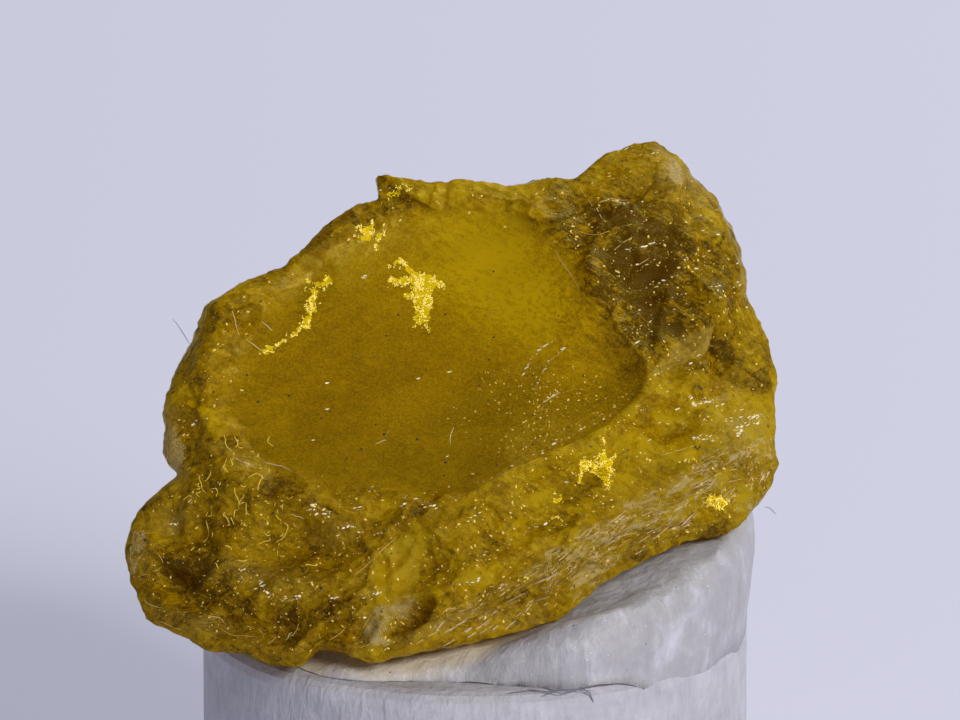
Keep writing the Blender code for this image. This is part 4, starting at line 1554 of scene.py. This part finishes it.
def add_floor():
    """A flat round floor under the post's foot."""
    turn = np.linspace(0, 2 * math.pi, 97)[:-1]
    edge = FLOOR_RADIUS * np.column_stack([np.cos(turn), np.sin(turn), 0 * turn])
    material = plain_material("Pale floor", (0.74, 0.755, 0.9, 1), 0.9)
    floor = new_piece("floor", edge, np.arange(len(edge))[None, :], material, smooth=False)


def add_softbox(name, azimuth, elevation, distance, size, watts, colour):
    """A square light that looks at the stone. Azimuth turns from the front to the right."""
    light = bpy.data.lights.new(name, "AREA")
    light.shape = "SQUARE"
    light.size = size
    light.energy = watts
    light.color = colour
    lamp = add_object(name, light)
    turn, rise = math.radians(azimuth), math.radians(elevation)
    towards = (math.sin(turn) * math.cos(rise), -math.cos(turn) * math.cos(rise), math.sin(rise))
    lamp.location = [distance * part for part in towards[:2]] + [AIM_HEIGHT + distance * towards[2]]
    lamp.rotation_euler = (math.pi / 2 - rise, 0, turn)


def add_lights():
    """An even bluish light all round, a broad soft light from behind at the right, and a smaller
    one from the front at the right."""
    world = bpy.data.worlds.new("Studio")
    bpy.context.scene.world = world
    world.use_nodes = True
    back = world.node_tree.nodes["Background"]
    back.inputs["Color"].default_value = (0.58, 0.59, 0.72, 1)
    back.inputs["Strength"].default_value = 0.3
    add_softbox("back", 145, 42, 0.34, 0.2, 0.66, (1.0, 0.99, 0.97))
    add_softbox("side", 32, 30, 0.26, 0.07, 0.42, (1.0, 0.97, 0.93))


def add_camera():
    """The camera looks square onto the stone's lean frame, from far off."""
    camera = bpy.data.cameras.new("camera")
    camera.lens = CAMERA_LENS
    camera.sensor_width = SENSOR_WIDTH
    camera.clip_end = 10.0
    eye = add_object("camera", camera)
    eye.location = to_world(VIEW_CENTRE_U, VIEW_CENTRE_V, VIEW_WIDTH / SENSOR_WIDTH * CAMERA_LENS)
    eye.rotation_euler = (math.radians(90 - LEAN_DEGREES), 0, 0)
    bpy.context.scene.camera = eye


def main():
    """Makes the stone, the putty pressed under it, all that is sealed in them or lies on them,
    the post's material, and the stage."""
    skin, low = add_stone()
    add_putty_sparkles(add_putty(low))
    add_threads()
    flares = list(FLARES.values())
    frosted = [PANE_LOOPS[name] for name in FROSTED_PANES]
    # The flares' veils glow: painted light where light shines through the stone.
    add_veil(skin, "deep_glow_veils", flares, deep_ground, 0.019, 0.002, (0.8, 0.58, 0.0, 1), 0.05)
    add_veil(skin, "pale_glow_veils", flares, crinkled, 0.012, 0.008, (1.0, 0.83, 0.2, 1), 0.32)
    add_veil(skin, "frosted_plates", frosted, crusted, 0.016, 0.004, (0.46, 0.35, 0.13, 1))
    yellow = plain_material("Yellow thread", (0.95, 0.74, 0.08, 1), 0.4)
    pale = plain_material("Pale thread", (0.85, 0.7, 0.35, 1), 0.4)
    crest = plain_material("Frosted crest", (0.74, 0.53, 0.16, 1), 0.4)
    add_hairs(skin, "yellow_hairs", YELLOW_HAIRS + scribbles(), 0.0085, 0.004, yellow)
    add_hairs(skin, "pale_hairs", PALE_HAIRS, 0.007, 0.003, pale)
    add_hairs(skin, "crest_lines", CREST_LINES, 0.006, -0.001, crest)
    add_glints(skin)
    add_specks(skin)
    add_grit(skin, "light_grit", 3200, 241, (0.95, 0.72, 0.16, 1))
    add_grit(skin, "dark_grit", 700, 251, (0.08, 0.04, 0.008, 1))
    add_bowl_flecks(skin)
    add_splinters(skin)
    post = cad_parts["display_post"]
    post.data.materials.clear()
    post.data.materials.append(post_material())
    add_floor()
    add_lights()
    add_camera()
    bpy.context.scene.view_settings.view_transform = "Standard"


main()
